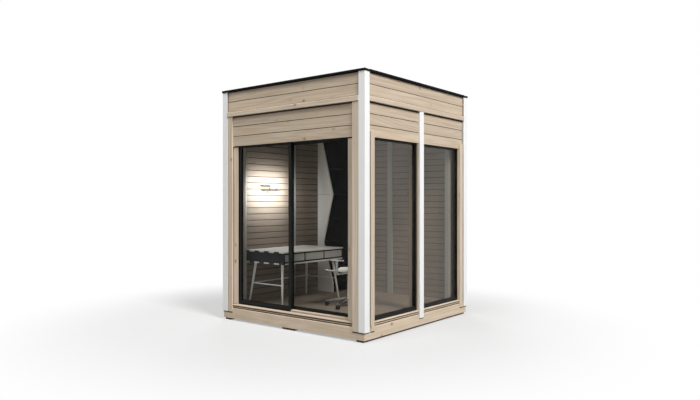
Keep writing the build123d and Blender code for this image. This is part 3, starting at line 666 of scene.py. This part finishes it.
def fascia_cladding():
    """Two boards on each side of the roof, between the white posts."""
    low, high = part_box("fascia_boards")
    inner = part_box("roof_deck")[1].y
    bm = bmesh.new()
    skins = [CLADDING_DEPTH + TOUCH, TOUCH]
    for axis, along, sign in SIDES:
        a, b = Vector((0, 0, low.z)), Vector((0, 0, high.z))
        a[along], b[along] = -post_edge, post_edge
        a[axis], b[axis] = sorted((sign * high.y, sign * inner))
        # Backing in the nearly black timber: painted shade in the board joints
        add_box(bm, *shrunk(a, b, axis, *(skins[::-1] if sign > 0 else skins)), GROOVE_SHADE)
        a, b = shrunk(*shrunk(a, b, along, END_GAP, END_GAP), Z, FASCIA_GAP, FASCIA_GAP)
        boards(bm, a, b, (axis, sign), Z, [FASCIA_LINE], CLADDING_GAP, CLADDING_DEPTH)
    soften(bm, BOARD_ARRIS, segments=1)
    mark_grain(bm)
    finish_mesh("fascia_cladding", bm, WALL_MATERIALS, "timber", replaces=["fascia_boards"])


def drip_boards():
    """Strips under the fascia with a sloping top that sheds water."""
    low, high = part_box("drip_strips")
    wall = abs(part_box("left_wall")[0].x)
    outline = [
        (wall, low.z),
        (high.x, low.z),
        (high.x, high.z - STRIP_SLOPE),
        (high.x - STRIP_SLOPE, high.z),
        (wall, high.z),
    ]
    corners = len(outline)
    bm = bmesh.new()
    for axis, along, sign in SIDES:
        made = []
        for end in (-post_edge, post_edge):
            for out, z in outline:
                point = Vector((0, 0, z))
                point[axis], point[along] = sign * out, end
                made.append(bm.verts.new(point))
        near, far = made[:corners], made[corners:]
        bm.faces.new(near)
        bm.faces.new(far[::-1])
        for i in range(corners):
            j = (i + 1) % corners
            bm.faces.new((near[i], far[i], far[j], near[j]))
    bmesh.ops.recalc_face_normals(bm, faces=bm.faces)
    soften(bm, BOARD_ARRIS)
    mark_grain(bm)
    finish_mesh("drip_boards", bm, trim_pine, "timber", replaces=["drip_strips"])


boarded_wall("left_wall_boards", "left_wall", X, -1, 2, floor_top)
boarded_wall("back_wall_boards", "back_wall", Y, 1, 2, floor_top)
boarded_wall("right_header_boards", "right_header", X, 1, 1, 0.0)
front_header_boards()
corner_stud_timbers()
fascia_cladding()
drip_boards()


# Floor, ceiling, plinth and roof


def floor_planks():
    """Floor boards that run from the door to the back wall."""
    low, high = room_low, room_high
    count = round((high.x - low.x) / PLANK_WIDTH)
    joints = [low.x + (high.x - low.x) * i / count for i in range(1, count)]
    bm = bmesh.new()
    boards(bm, low, high, (Z, 1), X, joints, PLANK_GAP, PLANK_DEPTH)
    add_box(bm, low, (high.x, high.y, high.z - PLANK_DEPTH - TOUCH))
    soften(bm, BOARD_ARRIS, segments=1)
    mark_grain(bm, Y)
    finish_mesh("floor_planks", bm, floor_pine, "floor_timber", replaces=["floor_boards"])


def ceiling_lining():
    """Lining boards under the roof deck."""
    low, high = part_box("ceiling")
    joints = lines_between(low.y, high.y, 0.0, LINING_PITCH)
    bm = bmesh.new()
    boards(bm, low, high, (Z, -1), Y, joints, LINING_GAP, LINING_DEPTH, LINING)
    # Backing in the nearly black timber: painted shade in the board joints
    add_box(bm, (low.x, low.y, low.z + LINING_DEPTH + TOUCH), high, GROOVE_SHADE)
    soften(bm, BOARD_ARRIS, segments=1)
    mark_grain(bm, X)
    finish_mesh("ceiling_lining", bm, WALL_MATERIALS, "inner_timber", replaces=["ceiling"])


def plinth_boards():
    """The sole plates lie in shade, painted on in the nearly black timber; only their thin lip
    comes forward and is planed.
    """
    bm = copy_of("plinth_strips")
    soften(bm, SMALL_ARRIS)
    mark_grain(bm)
    lip = abs(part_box("door_track")[0].y) + LIP_MARGIN
    for face in bm.faces:
        centre = face.calc_center_median()
        face.material_index = int(max(abs(centre.x), abs(centre.y)) < lip)
    finish_mesh("plinth_boards", bm, [pine, painted_shade_pine], "timber", replaces=["plinth_strips"])


def roof_sheet():
    """Felt laid in lapped widths over the roof, and turned up at the kerb."""
    bm = copy_of("roof_membrane")
    soften(bm, FELT_ARRIS)
    low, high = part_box("roof_membrane")
    above = [v.co for v in bm.verts if v.co.z > low.z + SHEET_MARGIN]
    kerb = max(point.x for point in above if point.z < high.z - KERB_MARGIN)
    flat = min(point.z for point in above)
    start, rise = -kerb, FELT_STEP
    while start < kerb - FELT_LAP:
        end = min(start + FELT_WIDTH, kerb)
        add_box(bm, (-kerb, start, flat - FELT_STEP), (kerb, end, flat + rise))
        start, rise = end - FELT_LAP, rise + FELT_STEP
    mark_grain(bm)
    finish_mesh("roof_sheet", bm, roofing, "roofing", replaces=["roof_membrane"])


floor_planks()
ceiling_lining()
plinth_boards()
roof_sheet()

# Timber that keeps the solids' shapes, and dark strips at its joints that are painted shade

TIMBER_PIECES = {
    "base_long_timbers": ("base_beams_long", base_pine, "timber"),
    "base_cross_timbers": ("base_beams_cross", base_pine, "timber"),
    "runner_battens": ("runners", sawn, "runner_timber"),
    "corner_boards": ("front_corner_boards", trim_pine, "timber"),
    "jamb_timbers": ("front_jambs", trim_pine, "timber"),
    # The sill and threshold take the darker sill pine: painted shade
    "door_sill_board": ("front_sill", shaded_sill_pine, "timber"),
    "threshold_timber": ("threshold_board", shaded_sill_pine, "timber"),
    "window_mullion_timber": ("window_mullion", pine, "timber"),
    "window_casing_boards": ("window_casings", trim_pine, "timber"),
    "window_sill_boards": ("window_sills", trim_pine, "timber"),
    "roof_deck_timber": ("roof_deck", shaded_lining_pine, "inner_timber"),
    "floor_frame_timber": ("floor_frame", shaded_lining_pine, "inner_timber"),
    "white_corner_posts": ("corner_posts", white_paint, "white_paint"),
    "white_battens": ("outer_battens", white_paint, "white_paint"),
    # The white inner posts take the grey copy of the white paint: painted shade
    "white_inner_posts": ("inner_posts", shaded_white_paint, "white_paint"),
}
for piece_name, (node, material, slot) in TIMBER_PIECES.items():
    dressed(piece_name, node, material, slot)


def foot_shade_strips():
    """Dark strips on the base under the feet of the posts, battens and boards: painted shade where
    the feet overhang the base.
    """
    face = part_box("base_beams_long")[1].x
    bm = bmesh.new()
    for node in ("corner_posts", "front_corner_boards", "window_casings", "outer_battens"):
        for a, b in solids_of(node):
            for axis, along, sign in SIDES:
                reach = b[axis] if sign > 0 else -a[axis]
                if reach < face:
                    continue
                c, d = a.copy(), b.copy()
                c.z, d.z = a.z - SHADE_STRIP_HEIGHT, a.z - TOUCH
                c[axis], d[axis] = sorted((sign * (face - TOUCH), sign * (face + SHADE_STRIP_DEPTH)))
                c[along] = max(c[along], -face - SHADE_STRIP_DEPTH)
                d[along] = min(d[along], face + SHADE_STRIP_DEPTH)
                add_box(bm, c, d)
    soften(bm, SMALL_ARRIS, segments=1)
    finish_mesh("foot_shade_strips", bm, shade_strip_brown, "black_frame")


def fascia_shade_fillets():
    """Dark brown fillets in the joints between the fascia and the posts, painted shade in those
    gaps.
    """
    low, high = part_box("fascia_boards")
    post_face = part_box("corner_posts")[1].y
    back, front = high.y - CLADDING_DEPTH + TOUCH, post_face - SHADE_STRIP_DEPTH
    inner, outer = post_edge - END_GAP + TOUCH, post_edge - TOUCH
    bm = bmesh.new()
    for axis, along, sign in SIDES:
        for end in (-1, 1):
            a, b = Vector((0, 0, low.z + TOUCH)), Vector((0, 0, high.z - FASCIA_GAP))
            a[axis], b[axis] = sorted((sign * back, sign * front))
            a[along], b[along] = sorted((end * inner, end * outer))
            add_box(bm, a, b)
    soften(bm, SMALL_ARRIS, segments=1)
    mark_grain(bm, Z)
    finish_mesh("fascia_shade_fillets", bm, shaded_lining_pine, "timber")


def head_shade_strips():
    """Dark strips on the jambs under the header: painted shade below the header."""
    header_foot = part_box("front_header")[0].z
    bm = bmesh.new()
    for low, high in solids_of("front_jambs"):
        a = (low.x + TOUCH, low.y - SHADE_STRIP_DEPTH, header_foot - HEAD_SHADE_STRIP)
        b = (high.x - TOUCH, low.y - TOUCH, header_foot - TOUCH)
        add_box(bm, a, b)
    soften(bm, SMALL_ARRIS, segments=1)
    finish_mesh("head_shade_strips", bm, shade_strip_brown, "black_frame")


foot_shade_strips()
fascia_shade_fillets()
head_shade_strips()

# Metal that keeps the solids' shapes

METAL_PIECES = {
    "door_head_rail": ("door_head", HOUSE),
    "door_side_rails": ("door_side_frames", HOUSE),
    "door_threshold": ("door_track", HOUSE),
    "fixed_leaf_rails": ("fixed_leaf_frame", HOUSE),
    "sliding_leaf_rails": ("sliding_leaf_frame", LEAF),
    "window_frame_rails": ("window_frames", HOUSE),
}
for piece_name, (node, body) in METAL_PIECES.items():
    dressed(piece_name, node, black_coat, "black_frame", body, width=FINE_ARRIS)
dressed("roof_edge_trim", "roof_edge", edge_coat, "edge_metal", width=SOFT_ARRIS)


# Glass and its gaskets


def gaskets(name, node, axis, body):
    """Rubber strips round each pane, on both of its faces."""
    bm = bmesh.new()
    across = Y if axis == X else X
    for low, high in solids_of(node):
        for face, rise in ((low[axis], -GASKET_RISE), (high[axis], GASKET_RISE)):
            depth = sorted((face, face + rise))
            for side in (across, Z):
                for end in (low[side], high[side] - GASKET_WIDTH):
                    a, b = low.copy(), high.copy()
                    a[axis], b[axis] = depth
                    a[side], b[side] = end, end + GASKET_WIDTH
                    if side == Z:
                        a[across] += GASKET_WIDTH
                        b[across] -= GASKET_WIDTH
                    add_box(bm, a, b)
    soften(bm, SMALL_ARRIS, segments=1)
    finish_mesh(name, bm, rubber, "black_frame", body)


GLASS_PANES = {
    "fixed_leaf_glass": door_glass,
    "sliding_leaf_glass": door_glass,
    "window_panes": window_glass,
}
for node, material in GLASS_PANES.items():
    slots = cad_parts[node].data.materials
    slots.clear()
    slots.append(material)
gaskets("fixed_leaf_gaskets", "fixed_leaf_glass", Y, HOUSE)
gaskets("sliding_leaf_gaskets", "sliding_leaf_glass", Y, LEAF)
gaskets("window_gaskets", "window_panes", X, HOUSE)

# Desk

LEG_SPLAY = 0.062
LEG_TOP_RADIUS = 0.018
LEG_FOOT_RADIUS = 0.011
LEG_FOOT_ROUND = 0.004
STRETCHER_RISE = 0.275
STRETCHER_RADIUS = 0.007
COLLAR_RADIUS = 0.03
COLLAR_HEIGHT = 0.007


def desk_legs():
    """Round tapered legs with a collar at the top and thin stretchers on three sides."""
    low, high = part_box("desk_legs")
    middle = 0.5 * (low + high)
    bm = bmesh.new()
    length = high.z - low.z
    joints = {}
    for i in (-1, 1):
        for j in (-1, 1):
            foot = Vector((
                middle.x + i * (0.5 * (high.x - low.x) - LEG_FOOT_RADIUS),
                middle.y + j * (0.5 * (high.y - low.y) - LEG_FOOT_RADIUS),
                low.z,
            ))
            top = foot + Vector((-i * LEG_SPLAY, -j * LEG_SPLAY, length))
            reach = (top - foot).length
            profile = [
                (0, 0.8 * LEG_FOOT_RADIUS),
                (LEG_FOOT_ROUND, LEG_FOOT_RADIUS),
                (reach - COLLAR_HEIGHT, LEG_TOP_RADIUS),
            ]
            lathe(bm, foot, top - foot, profile)
            collar = [
                (0, 0.85 * COLLAR_RADIUS),
                (0.2 * COLLAR_HEIGHT, COLLAR_RADIUS),
                (COLLAR_HEIGHT, COLLAR_RADIUS),
            ]
            lathe(bm, top - Vector((0, 0, COLLAR_HEIGHT)), (0, 0, 1), collar)
            joints[i, j] = foot.lerp(top, STRETCHER_RISE / length)
    for start, end in (((-1, -1), (1, -1)), ((-1, 1), (1, 1)), ((-1, -1), (-1, 1))):
        span = joints[end] - joints[start]
        profile = [(0, STRETCHER_RADIUS), (span.length, STRETCHER_RADIUS)]
        lathe(bm, joints[start], span, profile, THIN_TURNED_STEPS)
    finish_mesh(
        "desk_white_legs", bm, lacquer, "white_lacquer",
        replaces=["desk_legs"], smooth=SMOOTH_ANGLE,
    )


desk_legs()

# Chair

SHELL_THICKNESS = 0.014
SHELL_CURL = 0.026
SHELL_CURL_POWER = 3
SHELL_RIM_SHARE = 0.55
SHELL_RIM_POWER = 6
SHELL_CORNER = 0.09
SHELL_BEND = 0.08
SHELL_STEPS, SHELL_HALF_STEPS = 44, 10
BACK_LEAN = 0.085
WHEEL_RADIUS = 0.027
WHEEL_WIDTH = 0.017
WHEEL_GAP = 0.008
WHEEL_DISH = 0.002
WHEEL_OUTER_ROUND, WHEEL_INNER_ROUND = 0.005, 0.004
STEM_RADIUS = 0.005


def shell_line(low, high):
    """Points, upward normals and run of the shell's middle line, from seat front to back top."""
    pan = low.z + 0.5 * SHELL_THICKNESS
    corner = Vector((high.x - BACK_LEAN - 0.5 * SHELL_THICKNESS, 0, pan))
    front = Vector((low.x, 0, pan))
    top = Vector((high.x - 0.5 * SHELL_THICKNESS, 0, high.z))
    into, out = (corner - front).normalized(), (top - corner).normalized()
    turn = into.angle(out)
    cut = SHELL_BEND * math.tan(turn / 2)
    seat, back = (corner - front).length - cut, (top - corner).length - cut
    total = seat + SHELL_BEND * turn + back
    for i in range(SHELL_STEPS + 1):
        run = total * i / SHELL_STEPS
        if run <= seat:
            angle, point = 0.0, front + run * into
        elif run < seat + SHELL_BEND * turn:
            angle = (run - seat) / SHELL_BEND
            start = front + seat * into
            point = start + SHELL_BEND * Vector((math.sin(angle), 0, 1 - math.cos(angle)))
        else:
            angle, point = turn, top - (total - run) * out
        yield point, Vector((-math.sin(angle), 0, math.cos(angle))), run, total - run


def chair_shell():
    """A moulded seat and back in one sheet, with rounded corners and curled sides."""
    low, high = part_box("chair_shell")
    middle, half = 0.5 * (low.y + high.y), 0.5 * (high.y - low.y)
    count = SHELL_HALF_STEPS
    across = [math.sin(0.5 * math.pi * i / count) for i in range(-count, count + 1)]
    bm = bmesh.new()
    layers = ([], [])
    for point, up, before, after in shell_line(low, high):
        end = min(before, after, SHELL_CORNER)
        width = half - SHELL_CORNER + math.sqrt(SHELL_CORNER**2 - (SHELL_CORNER - end) ** 2)
        for layer, side in zip(layers, (-0.5, 0.5)):
            row = []
            for share in across:
                rim = 1 - SHELL_RIM_SHARE * abs(share) ** SHELL_RIM_POWER
                curl = SHELL_CURL * abs(share) ** SHELL_CURL_POWER
                offset = curl + side * SHELL_THICKNESS * rim
                place = point + offset * up + Vector((0, middle + share * width, 0))
                row.append(bm.verts.new(place))
            layer.append(row)
    under, over = layers
    last = len(across) - 1
    for sheet in layers:
        for row, following in zip(sheet, sheet[1:]):
            for i in range(last):
                bm.faces.new((row[i], row[i + 1], following[i + 1], following[i]))
    for i in (0, last):
        for j in range(len(over) - 1):
            bm.faces.new((under[j][i], under[j + 1][i], over[j + 1][i], over[j][i]))
    for j in (0, len(over) - 1):
        for i in range(last):
            bm.faces.new((under[j][i], under[j][i + 1], over[j][i + 1], over[j][i]))
    finish_mesh(
        "chair_white_shell", bm, shell_white, "white_shell",
        replaces=["chair_shell"], smooth=SHELL_SMOOTH_ANGLE,
    )


def chair_castors():
    """Twin-wheel castors under a hood, on a steel stem."""
    bm = bmesh.new()
    boxes = solids_of("chair_castors")
    centres = [0.5 * (low + high) for low, high in boxes]
    hub = sum(centres, Vector()) / len(centres)
    low, high = boxes[0]
    radius = WHEEL_RADIUS
    wheel = [
        (0, 0.45 * radius),
        (WHEEL_DISH, 0.8 * radius),
        (0.5 * WHEEL_DISH, 0.92 * radius),
        (WHEEL_OUTER_ROUND, radius),
        (WHEEL_WIDTH - WHEEL_INNER_ROUND, radius),
        (WHEEL_WIDTH, 0.9 * radius),
    ]
    hood = [(0, 0.3 * radius), (0.3 * radius, 0.75 * radius), (0.9 * radius, 0.8 * radius)]
    for centre in centres:
        arm = (centre - hub).to_2d()
        axle = Vector((-arm.y, arm.x, 0)).normalized()
        axis = Vector((centre.x, centre.y, low.z + radius))
        for side in (-1, 1):
            outer = axis + side * (WHEEL_WIDTH + 0.5 * WHEEL_GAP) * axle
            lathe(bm, outer, -side * axle, wheel)
        hood_top = axis + Vector((0, 0, 1.06 * radius))
        lathe(bm, hood_top, (0, 0, -1), hood, THIN_TURNED_STEPS)
        stem = [(0, STEM_RADIUS), (high.z - axis.z, STEM_RADIUS)]
        lathe(bm, axis, (0, 0, 1), stem, THIN_TURNED_STEPS)
    finish_mesh(
        "chair_black_castors", bm, castor_black, "castor_plastic",
        replaces=["chair_castors"], smooth=SMOOTH_ANGLE,
    )


chair_shell()
chair_castors()

# Shelf panel, wall lamp and drawers

PANEL_SEAM = 1.654
SEAM_GAP = 0.003
PEG_SHARES = (0.36, 0.8)
PEG_RADIUS = 0.006
PEG_HEIGHT = 0.032
DIFFUSER_PROUD = 0.002
DIFFUSER_MARGIN_SHARE = 0.6
DIFFUSER = 1
PAD_MARGIN = 0.0065


def shelf_panel():
    """The white end panel, made of two boards that meet at a seam."""
    bm = bmesh.new()
    for side in (-1, 1):
        half = copy_of("shelf_end_panel")
        cut = bmesh.ops.bisect_plane(
            half,
            geom=[*half.verts, *half.edges, *half.faces],
            plane_co=(0, 0, PANEL_SEAM + side * SEAM_GAP / 2),
            plane_no=(0, 0, -side),
            clear_outer=True,
        )
        rim = [e for e in cut["geom_cut"] if isinstance(e, bmesh.types.BMEdge)]
        bmesh.ops.holes_fill(half, edges=rim)
        mesh = bpy.data.meshes.new("half")
        half.to_mesh(mesh)
        half.free()
        bm.from_mesh(mesh)
        bpy.data.meshes.remove(mesh)
    soften(bm, FINE_ARRIS)
    finish_mesh("shelf_white_panel", bm, lacquer, "white_lacquer", replaces=["shelf_end_panel"])


def wall_lamp():
    """A dark bar on stems over a narrow ledge with two pegs; the bar's light faces the wall."""
    bm = copy_of("wall_lamp")
    soften(bm, SMALL_ARRIS, angle=ROUND_SHARP_ANGLE)
    parts = solids_of("wall_lamp")
    ledge_low, ledge_high = min(parts, key=lambda box: box[0].z)
    bar_low, bar_high = max(parts, key=lambda box: box[0].z)
    for share in PEG_SHARES:
        y = ledge_low.y + share * (ledge_high.y - ledge_low.y)
        foot = Vector((ledge_high.x - 3 * PEG_RADIUS, y, ledge_high.z - TOUCH))
        profile = [(0, PEG_RADIUS), (0.9 * PEG_HEIGHT, PEG_RADIUS), (PEG_HEIGHT, 0.7 * PEG_RADIUS)]
        lathe(bm, foot, (0, 0, 1), profile, THIN_TURNED_STEPS)
    radius = 0.5 * (bar_high.z - bar_low.z)
    margin = DIFFUSER_MARGIN_SHARE * radius
    strip_x = bar_high.x - 2 * radius
    strip_low = (strip_x - DIFFUSER_PROUD, bar_low.y + radius, bar_low.z + margin)
    strip_high = (strip_x + radius, bar_high.y - radius, bar_high.z - margin)
    add_box(bm, strip_low, strip_high, DIFFUSER)
    lamp = finish_mesh(
        "wall_lamp_bar", bm, [lamp_coat, diffuser], "lamp_metal",
        replaces=["wall_lamp"], smooth=SMOOTH_ANGLE,
    )
    # Its pool of light comes from a lamp in front of the bar, so the bar casts no shadow
    lamp.visible_shadow = False


def drawer_felts():
    """Felt pads on the drawer fronts, a little smaller than the fronts, in their dark case."""
    bm = bmesh.new()
    for low, high in solids_of("desk_drawer_fronts"):
        for axis in (Y, Z):
            low, high = shrunk(low, high, axis, PAD_MARGIN, PAD_MARGIN)
        add_box(bm, low, high)
    soften(bm, SOFT_ARRIS)
    mark_grain(bm)
    finish_mesh("desk_drawer_felts", bm, grey_felt, "grey_felt", replaces=["desk_drawer_fronts"])


shelf_panel()
wall_lamp()
drawer_felts()

# Furniture that keeps the solids' shapes

FURNITURE = {
    "desk_white_boards": ("desk_boards", lacquer, "white_lacquer", SMALL_ARRIS, None),
    "desk_felt_case": ("desk_case", black_felt, "black_board", SMALL_ARRIS, None),
    "chair_bright_frame": ("chair_frame", chrome, "chair_metal", FINE_ARRIS, SMOOTH_ANGLE),
    "shelf_black_case": ("shelf_case", laminate, "black_board", SMALL_ARRIS, None),
}
for piece_name, (node, material, slot, width, smooth) in FURNITURE.items():
    dressed(piece_name, node, material, slot, HOUSE, width, smooth, ROUND_SHARP_ANGLE)

# Stage, light and camera

FLOOR_HALF = 60.0
SHADOW_CENTRE = (-0.2, -0.4, 0.0)
SHADOW_NEAR, SHADOW_FAR = 2.0, 4.3
FLOOR_SEEN = (0.5, 0.5, 0.5)
FLOOR_BOUNCE = (0.2, 0.2, 0.2)
FLOOR_OWN_SHARE = 0.4
WORLD_LIGHT = 0.33
HOUSE_MIDDLE = (0.0, 0.0, 1.3)
FULL_SPREAD = 180
WHITE = (1, 1, 1)


def eye_rays(tree):
    """One for rays from the camera, a mirror or glass, and none for rays that carry light."""
    path = tree.nodes.new("ShaderNodeLightPath")
    total = path.outputs["Is Camera Ray"]
    for kind in ("Glossy", "Transmission"):
        most = tree.nodes.new("ShaderNodeMath")
        most.operation = "MAXIMUM"
        tree.links.new(total, most.inputs[0])
        tree.links.new(path.outputs[f"Is {kind} Ray"], most.inputs[1])
        total = most.outputs[0]
    return total


def studio_floor():
    """A pale floor that keeps the house's soft shadow and fades into the white background."""
    bm = bmesh.new()
    bmesh.ops.create_grid(bm, x_segments=1, y_segments=1, size=FLOOR_HALF)
    mesh = bpy.data.meshes.new("studio_floor")
    bm.to_mesh(mesh)
    bm.free()
    g = Graph("studio_floor")
    seen = eye_rays(g.tree)
    lit = g.node("BsdfDiffuse", Color=g.mix(seen, FLOOR_BOUNCE, FLOOR_SEEN))
    own = g.node("Emission", Color=(*WHITE, 1), Strength=1.0)
    away = g.vector("DISTANCE", g.position(), SHADOW_CENTRE, out="Value")
    fade = g.ranged(away, SHADOW_NEAR, SHADOW_FAR, FLOOR_OWN_SHARE, 1.0)
    mesh.materials.append(g.swap_surface(g.mix_shader(g.math("MULTIPLY", fade, seen), lit, own)))
    floor = bpy.data.objects.new("studio_floor", mesh)
    bpy.context.scene.collection.objects.link(floor)


def studio_world():
    """White to the eye; as a light, even and dim."""
    world = bpy.data.worlds.new("studio")
    bpy.context.scene.world = world
    world.use_nodes = True
    tree = world.node_tree
    back = tree.nodes["Background"]
    strength = tree.nodes.new("ShaderNodeMix")
    strength.data_type = "FLOAT"
    tree.links.new(eye_rays(tree), strength.inputs[0])
    strength.inputs[2].default_value = WORLD_LIGHT
    strength.inputs[3].default_value = 1.0
    back.inputs["Color"].default_value = (*WHITE, 1)
    tree.links.new(strength.outputs[0], back.inputs["Strength"])


def aimed(name, data, place, target):
    """Adds a lamp or camera at a place, turned towards a target."""
    holder = bpy.data.objects.new(name, data)
    holder.location = place
    holder.rotation_mode = "QUATERNION"
    holder.rotation_quaternion = (Vector(target) - Vector(place)).to_track_quat("-Z", "Y")
    bpy.context.scene.collection.objects.link(holder)
    return holder


def softbox(name, place, size, power):
    """A large square lamp turned towards the house."""
    lamp = bpy.data.lights.new(name, "AREA")
    lamp.size = size
    lamp.energy = power
    aimed(name, lamp, place, HOUSE_MIDDLE)


def glow(name, place, target, size, power, colour, spread=FULL_SPREAD):
    """A small flat lamp; size is its (width, height), and spread in degrees limits its pool."""
    lamp = bpy.data.lights.new(name, "AREA")
    lamp.shape = "RECTANGLE"
    lamp.size, lamp.size_y = size
    lamp.spread = math.radians(spread)
    lamp.energy = power
    lamp.color = colour
    return aimed(name, lamp, place, target)


# Place, size and power in watts of the large lamps
SOFTBOXES = {
    "key_right": ((20.6, -6.3, 23.6), 8.0, 10300),
    "fill_front": ((-2.4, -16.3, 27.6), 9.0, 3900),
    "fill_back": ((-18.3, 18.3, 16.3), 12.0, 3000),
}

studio_floor()
studio_world()
for lamp_name, (place, size, power) in SOFTBOXES.items():
    softbox(lamp_name, place, size, power)

# The wall lamp's light: a wide pool on the lining round the bar, and what it throws into the room
GLOW_REACH = 0.2
GLOW_PLACE = (-0.53, 1.67)
GLOW_RISE = 0.04
GLOW_SIZE = (0.64, 0.4)
GLOW_SPREAD = 170
GLOW_POWER = 12.5
GLOW_COLOUR = (0.96, 0.98, 1.0)
ROOM_AIM = (0.2, 0.2, 1.0)
ROOM_SIZE = (0.6, 0.08)
ROOM_POWER = 3.1
ROOM_COLOUR = (1.0, 0.98, 0.94)

pool = Vector((room_low.x, *GLOW_PLACE))
away = pool + Vector((GLOW_REACH, 0, GLOW_RISE))
glow("wall_lamp_glow", away, pool, GLOW_SIZE, GLOW_POWER, GLOW_COLOUR, GLOW_SPREAD)
glow("wall_lamp_room", away, ROOM_AIM, ROOM_SIZE, ROOM_POWER, ROOM_COLOUR)

# A soft light low in the doorway, turned into the room and out of sight
DOORWAY_SIZE = (1.3, 0.5)
DOORWAY_X, DOORWAY_Z = -0.35, 0.52
DOORWAY_STEP = 0.01
DOORWAY_POWER = 0.4

inside = Vector((DOORWAY_X, room_low.y + DOORWAY_STEP, DOORWAY_Z))
inward = inside + Vector((0, 1, 0))
doorway = glow("doorway_fill", inside, inward, DOORWAY_SIZE, DOORWAY_POWER, WHITE)
doorway.visible_camera = doorway.visible_glossy = False

# The camera stands at the photograph's viewpoint, level, with the photograph's lens
EYE = Vector((5.235, -6.572, 1.545))
LOOK = Vector((-0.6201, 0.7845, 0.0))
LENS = 32.02
SENSOR_WIDTH = 36.0
HORIZON_SHIFT = 0.0023

camera = bpy.data.cameras.new("camera")
camera.lens = LENS
camera.sensor_width = SENSOR_WIDTH
camera.shift_y = HORIZON_SHIFT
bpy.context.scene.camera = aimed("camera", camera, EYE, EYE + LOOK)
bpy.context.scene.view_settings.view_transform = "Standard"
